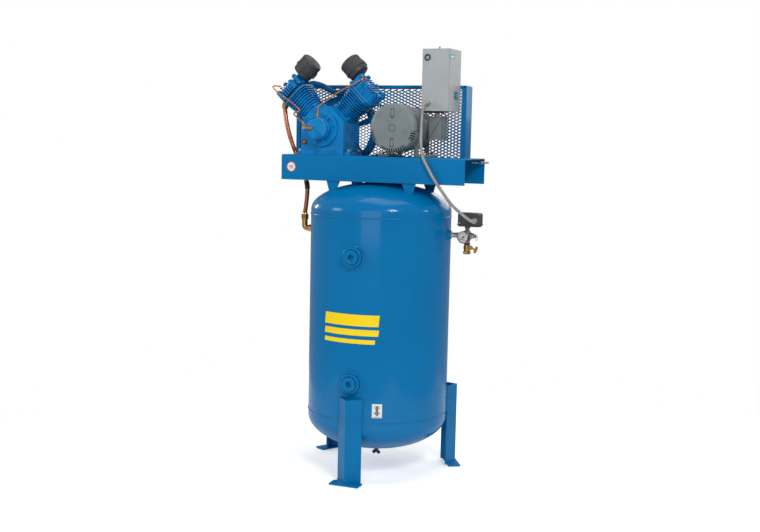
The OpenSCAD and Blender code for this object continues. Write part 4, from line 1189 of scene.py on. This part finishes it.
def make_starter():
    x0, y0, z0, x1, y1, z1 = BOX
    p = Piece("box")
    lid = x1 - SHEET
    outline = [(x0, y0), (lid, y0), (lid, y0 + SHEET), (x0 + SHEET, y0 + SHEET),
               (x0 + SHEET, y1 - SHEET), (lid, y1 - SHEET), (lid, y1), (x0, y1)]
    p.prism(outline, z0, z1)
    for z in (z0, z1 - SHEET):
        p.box((x0, y0, z), (lid, y1, z + SHEET))
    p.box((x0 + 30, y1 - 1, 1656), (x0 + 90, 135, 1676))
    p.use("dark")
    p.box((x0 + 4, y0 + 14, z0 - 7), (x1 - 40, y0 + 60, z0 - 0.2))
    p.make("starter_case", "base", "starter_box", bevel=0.9)
    p = Piece("box", ALONG_X)
    cy, cz = (y0 + y1) / 2, (z0 + z1) / 2
    window = rounded(27, 17, 1.5, 3, *WINDOW)
    p.prism(rounded(y1 - y0, z1 - z0, 1.5, 2, cy, cz), x1 - 1.5, x1, holes=[window[::-1]])
    p.use("print")
    p.prism(rounded(46, 34, 3, 4, 74, 1630), x1 - 0.1, x1 + 1.4, holes=[window[::-1]])
    p.use("ink")
    p.prism(rounded(9, 24, 1, 3, 57.5, 1630), x1 + 1.3, x1 + 1.7)
    p.use("box")
    p.prism(rounded(61, 25, 1, 2, *LABEL), x1 + 0.01, x1 + 0.15)
    p.use("teal")
    p.prism(rounded(61, 21, 1, 2, *LABEL), x1 + 0.02, x1 + 0.3)
    p.use("white")
    p.prism(rounded(34, 8, 1, 2, *LABEL), x1 + 0.2, x1 + 0.45)
    p.make("starter_lid", "base", "starter_cover", bevel=0.35)
    p = Piece("black")
    p.box((x0 + 1.8, 20, 1600), (x0 + 82, 90, 1720))
    for k in range(3):
        p.box((x0 + 81, 26 + 22 * k, 1604), (x0 + 84, 38 + 22 * k, 1716))
    p.make("contactor_block", "base", "contactor", bevel=1.2)
    p = Piece("cyan", turned(y=90, at=(0, *WINDOW)))
    p.prism(rounded(16, 26, 2, 4), 280, 305)
    p.prism(rounded(22, 34, 2, 4), 275, 281)
    p.make("reset_cap", "reset_plunger", "reset_button", bevel=0.7)


def make_fittings():
    p = Piece("zinc", turned(x=90, at=(208, 0, 1594)))
    p.tyre(7.5, 10.5, -9, 14, 40)
    p.hexagon(21, 14.5, 22, 0.92)
    p.lathe([(7.5, 21), (10.4, 21), (10.4, 34), (9.2, 43), (7.5, 44)], 40, ring=True)
    p.at(moved(228, 53, 0)).tyre(7, 10, 1534, 1572, 40)
    p.hexagon(19.6, 1543, 1550)
    p.hexagon(19.6, 1553, 1560)
    p.at(moved(228, 60, 0)).threads(4, 1822.2, 1836.8, 1.4, 20)
    p.hexagon(7.8, 1822.1, 1827)
    p.use("black")
    p.place = turned(x=90, at=(202, 0, 1786))
    p.lathe([(8, 12.4), (11, 12.4), (11, 14), (12.6, 14), (14, 15.4), (14, 17.4), (12, 19),
             (9.4, 19), (8, 17.4)], 48, ring=True)
    p.make("box_fittings", "base", "conduit_fittings", bevel=0.4)


CONDUIT = [
    (208, -34, 1594), (208, -48, 1593), (206, -68, 1572), (209, -90, 1520),
    (214, -104, 1478), (219, -117, 1436), (227, -130, 1400), (241, -143, 1364),
    (264, -148, 1326), (292, -147, 1280), (318, -138, 1240), (340, -122, 1204),
    (362, -106, 1172), (388, -92, 1146), (414, -84, 1124), (432, -74, 1111),
    (436, -58, 1108), (436, -42, 1108)]


def make_conduit():
    """Ribbed flexible conduit that goes back into the object."""
    p = Piece("conduit")
    path = smooth_route(CONDUIT, 24)
    spans = [(path[i + 1] - path[i]).length for i in range(len(path) - 1)]
    total = sum(spans)
    pitch = 5.2
    n = int(total / pitch) * 4
    out, done, i = [], 0.0, 0
    for k in range(n + 1):
        want = total * k / n
        while i < len(spans) - 1 and done + spans[i] < want:
            done += spans[i]
            i += 1
        out.append(path[i].lerp(path[i + 1], min(1.0, (want - done) / spans[i])))
    sides, rings, side = 14, [], None
    for k, q in enumerate(out):
        along = (out[min(k + 1, n)] - out[max(k - 1, 0)]).normalized()
        side = along.orthogonal().normalized() if side is None else side
        side = (side - along * side.dot(along)).normalized()
        other = along.cross(side)
        r = (5.9, 7.0, 7.0, 5.9)[k % 4]
        rings.append([q + side * (r * cos(TAU * m / sides))
                      + other * (r * sin(TAU * m / sides)) for m in range(sides)])
    p.loft(rings)
    obj = p.make("conduit_ribbed", "base", "control_conduit", bevel=0)

# ---------- discharge line ----------

DISCHARGE = [
    (-472, -7, 1566), (-468, -9, 1540), (-461, -13, 1511), (-444, -20, 1458),
    (-423, -27, 1410), (-405, -31, 1374), (-396, -32, 1350), (-378, -30, 1310),
    (-360, -27, 1270), (-349, -25, 1235), (-347, -25, 1200), (-351, -25, 1150),
    (-357, -25, 1108)]


def make_discharge():
    p = Piece("copper")
    route = smooth_route(DISCHARGE, 8)
    p.tube(route, 9.5, 24)
    p.use("rubber")
    sleeve = [q for q in route if 1212 < q[2] < 1250]
    p.tube(sleeve, 11.2, 24)
    p.make("discharge_copper", "base", "discharge_tube", bevel=0)
    p = Piece("brass", PORTS @ moved(-358, 0, 1040))
    bendy = [(0, 0, 40), (0, 0, 20), (1.2, 0, 9), (7, 0, 2), (17, 0, 0), (34, 0, 0)]
    p.tube(smooth_route(bendy, 5), 12.8, 28)
    p.lathe([(9.6, 38), (14.2, 38), (15.2, 40), (15.2, 44), (9.6, 44)], 40, ring=True)
    p.hexagon(30, 44, 62)
    p.lathe([(9.6, 61), (14, 61), (12, 67), (9.6, 68)], 40, ring=True)
    p.at(PORTS @ turned(y=90, at=(0, 0, 1040))).hexagon(27, -338, -328, 0.94)
    p.threads(12.8, -328, -300, 1.9, 36)
    p.at(bank(-1) @ turned(y=90, at=(0, -4, 243))).disc(9, -68, -52, 32)
    p.hexagon(22, -68, -62)
    p.at(moved(*DISCHARGE[0])).hexagon(28, 0, 17, 0.92)
    p.lathe([(0.01, 17), (11.5, 17), (12.6, 22), (12.6, 28), (10.8, 34), (6, 38), (0.01, 39)], 36)
    p.at(moved(-263, -102, 1529)).hexagon(14, 0, 8)
    p.disc(5.4, 7, 12, 24, 0.8)
    p.hexagon(12, 11, 17)
    p.at(turned(x=90, at=(-275, 0, 1481))).disc(6, 136, 152, 28, 1)
    p.hexagon(13, 136, 142)
    p.at(turned(y=90, at=(0, -146, 1481))).disc(6, -308, -275, 28, 1)
    p.hexagon(12, -296, -288)
    p.at(moved(-308, -146, 1478)).disc(7.2, -2, 8, 28, 1)
    p.hexagon(13, 6, 16)
    for side in (-1, 1):
        p.at(bank(side) @ moved(25 * (1 if side > 0 else -1), -52, 272)).hexagon(12, 0, 8)
        p.disc(5.2, 7, 14, 24, 1.2)
    p.make("brass_hardware", "base", "brass_fittings", bevel=0.35)


# ---------- manifold ----------

PIPE_Y, MAN_X, SIDE_Z = 22, 388, 1040  # middle of the cross
AT_GAUGE = turned(x=90, at=(MAN_X, 0, SIDE_Z - 3))
AT_RELIEF = turned(y=90, at=(MAN_X + 18, PIPE_Y, SIDE_Z))


def make_manifold():
    p = Piece("zinc", PORTS @ turned(y=90, at=(0, 0, SIDE_Z)))
    p.tyre(7, 10.8, 297, 345, 40)
    p.threads(11.4, 300, 322, 1.9, 36)
    p.threads(11.4, 334, 344, 1.9, 36)
    p.place = turned(y=90, at=(0, PIPE_Y, SIDE_Z))
    for a, b in ((-48, -38), (-14, 18)):
        p.lathe([(10, MAN_X + a), (12, MAN_X + a), (12, MAN_X + b), (10, MAN_X + b)], 40)
    p.tyre(8, 11.0, 336, 392, 40)
    for x in (MAN_X - 20, MAN_X + 12):
        p.lathe([(11, x), (14, x + 1), (14.6, x + 3), (14.6, x + 6), (14, x + 8), (11, x + 8)], 40)
    p.at(moved(MAN_X, PIPE_Y, SIDE_Z)).lathe([(8, -34), (11.8, -34), (11.8, 20), (8, 20)], 40)
    for z in (-22, 13):
        p.lathe([(11, z), (14, z + 1), (14.6, z + 3), (14.6, z + 6), (14, z + 8), (11, z + 8)], 40)
    p.threads(10, 20, 32, 1.8, 32)
    p.lathe([(0.01, -15.5), (8, -13.6), (13, -9), (15.5, -3), (15.5, 3), (13, 9), (8, 13.6),
             (0.01, 15.5)], 32)
    p.at(turned(x=90, at=(MAN_X, 0, SIDE_Z))).disc(9, -22, 8, 32)
    p.use("brass")
    p.hexagon(17, 4, 14)
    p.make("manifold_cross", "base", "pipe_manifold", bevel=0.5)


def make_switch():
    p = Piece("brass", moved(MAN_X, PIPE_Y, 1072))
    p.hexagon(22, 0, 9.4)
    p.use("dark")
    p.at(moved(407, 0, 0)).prism(rounded(90, 56, 4, 4, 0, -2), 1082, 1090)
    p.prism(rounded(98, 64, 5, 5, 0, -2), 1088, 1092)
    p.use("black")
    p.prism(rounded(94, 61, 7, 6, 0, -2), 1092, 1132)
    rows = []
    for inset, z in ((0, 1132), (0.8, 1135), (2.4, 1137.6), (5, 1139.4), (9, 1140)):
        rows.append([(x, y, z) for x, y in rounded(94 - 2 * inset, 61 - 2 * inset, 7, 6, 0, -2)])
    p.loft(rows)
    p.place = turned(x=90)
    for k in range(4):
        p.box((366 + 13 * k, 1098, 32.2), (374 + 13 * k, 1128, 33.4))
    p.at(moved(407, -2, 1140)).disc(5, -0.4, 0.0, 24)
    p.use("zinc")
    p.at(turned(x=90, at=(436, 0, 1108))).hexagon(24, 34, 40, 0.94)
    p.lathe([(7.5, 32), (10.5, 32), (10.5, 48), (9.4, 55), (7.5, 56)], 40, ring=True)
    p.at(turned(x=90, at=(370, 0, 1096))).disc(3.0, 33, 35, 20, 0.6)
    p.make("switch_housing", "base", "pressure_switch", bevel=0.5)


def make_gauge():
    p = Piece("dark", AT_GAUGE)
    p.lathe([(0.01, 14), (23, 14), (25, 15.5), (25.4, 18), (25.4, 31), (26, 32), (26, 36.5),
             (25, 38), (23.6, 38), (23.2, 35.8), (23.2, 34.2), (0.01, 34.2)], 72)
    p.use("white")
    p.disc(23.1, 34.0, 34.5, 64)
    p.use("ink")
    for k in range(41):
        a = radians(225 - 270 * k / 40)
        major = k % 5 == 0
        c, s = cos(a), sin(a)
        r0, r1, h = (14.6, 20.8, 0.85) if major else (18.0, 20.8, 0.32)
        p.prism([(r0 * c - h * s, r0 * s + h * c), (r0 * c + h * s, r0 * s - h * c),
                 (r1 * c + h * s, r1 * s - h * c), (r1 * c - h * s, r1 * s + h * c)][::-1],
                34.4, 34.65)
    p.prism(rounded(9, 1.2, 0.4, 2, 0, -9), 34.4, 34.65)
    p.use("red")
    wedge(p, 20.8, 22.0, -45, 8, 34.4, 34.62, 12)
    p.make("gauge_body", "base", "gauge_case", bevel=0.25)
    p = Piece("ink", AT_GAUGE @ turned(z=135))
    p.prism([(-1.9, -8), (1.9, -8), (1.4, 0), (0.7, 18.8), (-0.7, 18.8), (-1.4, 0)],
            35.0, 35.5)
    p.disc(3.4, 34.8, 36, 24, 0.4)
    p.make("gauge_pointer", "needle", "gauge_needle", bevel=0)
    p = Piece("glass", AT_GAUGE)
    p.lathe([(0.01, 36.6), (23.3, 36.6), (23.3, 37.3), (0.01, 37.6)], 48)
    p.make("gauge_window", "base", bevel=0)


def make_relief():
    p = Piece("zinc", AT_RELIEF)
    p.hexagon(20, 0, 12, 0.92)
    p.lathe([(2.7, 11), (9, 11), (9, 14), (7.4, 15), (7.4, 17), (8.6, 18), (8.6, 19.4), (7.4, 20),
             (2.7, 20)], 36, ring=True)
    p.make("relief_body", "base", "relief_valve", bevel=0.4)
    p = Piece("steel", AT_RELIEF)
    p.lathe([(0.01, 4), (2.5, 4), (2.5, 24.4), (1.8, 25), (0.01, 25)], 24)
    p.place = moved(MAN_X + 41.5, PIPE_Y, SIDE_Z - 9)
    p.tube([(0, 9.9 * cos(TAU * k / 40), 9.9 * sin(TAU * k / 40)) for k in range(40)],
           1.05, 10, loop=True)
    p.make("relief_pull_ring", "relief_pull", "relief_ring", bevel=0)


STEM = turned(y=20, at=(MAN_X, PIPE_Y, 996)) @ turned(y=90)


def make_outlet():
    p = Piece("brass", moved(MAN_X, PIPE_Y, 0))
    p.hexagon(29, 962, 974, 0.94)
    p.lathe([(9, 962), (12.4, 962), (13, 974), (13, 1000), (11, 1004), (11, 1006), (0.01, 1006)],
            40)
    p.lathe([(12, 980), (14.2, 983), (14.8, 990), (14.2, 999), (12, 1002)], 40)
    p.use("black")
    p.hexagon(24, 1003, 1012)
    p.use("brass")
    p.at(STEM).lathe([(4.1, 4), (9, 4), (9, 13), (7.4, 14), (7.4, 17), (4.1, 17)], 32, ring=True)
    p.hexagon(16, 16, 23)
    p.lathe([(4.1, 22), (6.4, 22), (6.4, 26), (4.1, 27)], 32, ring=True)
    p.make("outlet_body", "base", "outlet_valve", bevel=0.4)
    p = Piece("brass", STEM)
    p.lathe([(0.01, 15), (3.9, 15), (3.9, 45.6), (3.2, 46.4), (0.01, 46.4)], 28)
    p.use("orange")
    rings, n = [], 72
    for r, z, wave in ((4, 37.5, 0), (8, 38, 0), (12, 38.4, 0.4), (15, 38, 0.9), (16, 40, 1.1),
                       (16, 43, 1.1), (15, 45, 0.9), (12, 44.4, 0.4), (8, 43.4, 0), (4, 44.4, 0)):
        rings.append([polar(r - wave * (1 - cos(6 * TAU * k / n)) * 0.8, TAU * k / n, z)
                      for k in range(n)])
    p.loft(rings)
    p.make("outlet_handwheel", "outlet_wheel", "valve_handwheel", bevel=0)


# ---------- decals and inner pieces ----------


def make_decals():
    """Plain yellow bars and a drain arrow on the tank's skin."""
    def patch(p, x0, x1, z0, z1, lift, skew=0.0, n=48):
        rows = []
        for i in range(n + 1):
            x = x0 + (x1 - x0) * i / n
            row = []
            for z in (z0, z1):
                xs = x + skew * (z - z0)
                a = xs / TANK_R
                row.append(((TANK_R + lift) * sin(a), -(TANK_R + lift) * cos(a), z))
            rows.append(row)
        verts = [v for row in rows for v in row]
        faces = [(2 * i, 2 * i + 2, 2 * i + 3, 2 * i + 1) for i in range(n)]
        p.add(verts, faces)
    p = Piece("yellow")
    for x0, x1, z0, z1 in ((-136, 118, 668, 716), (-136, 118, 628, 654), (-136, 104, 594, 612)):
        patch(p, x0, x1, z0, z1, 0.25, 0.10)
    p.make("yellow_bars", "base", bevel=0)
    p = Piece("white")
    patch(p, 98, 140, 285, 344, 0.25)
    p.use("print")
    patch(p, 113, 125, 308, 336, 0.45)
    patch(p, 106, 132, 304, 308, 0.45)
    patch(p, 110, 128, 299, 304, 0.45)
    patch(p, 115, 123, 293, 299, 0.45)
    for z in (288, 326, 332):
        patch(p, 104, 134, z, z + 1.6, 0.5)
    p.make("drain_arrow_label", "base", bevel=0)


INNER = {"ball_bearings": "steel", "crankshaft": "steel", "left_piston": "alloy",
         "right_piston": "alloy", "left_connecting_rod": "steel",
         "right_connecting_rod": "steel", "filter_elements": "paper", "stator": "winding",
         "rotor_shaft": "steel"}


def dress_inner_nodes():
    for node, mat in INNER.items():
        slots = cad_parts[node].data.materials
        slots.clear()
        slots.append(M[mat])


for build in (make_tank, make_couplings, make_plugs, make_legs, make_drain, make_saddles,
              make_pan, make_crankcase, make_pump_front):
    build()
make_cylinder(-1, "cylinder_left_cast", "left_cylinder")
make_cylinder(1, "cylinder_right_cast", "right_cylinder")
make_head(-1, "head_left_cast", "left_head")
make_head(1, "head_right_cast", "right_head")
for build in (make_head_hardware, make_filters, make_pump_tubes, make_motor, make_fan_cover,
              make_motor_base, make_drive, make_guard, make_bolts, make_starter, make_fittings,
              make_conduit, make_discharge, make_manifold, make_switch, make_gauge, make_relief,
              make_outlet, make_decals, dress_inner_nodes):
    build()
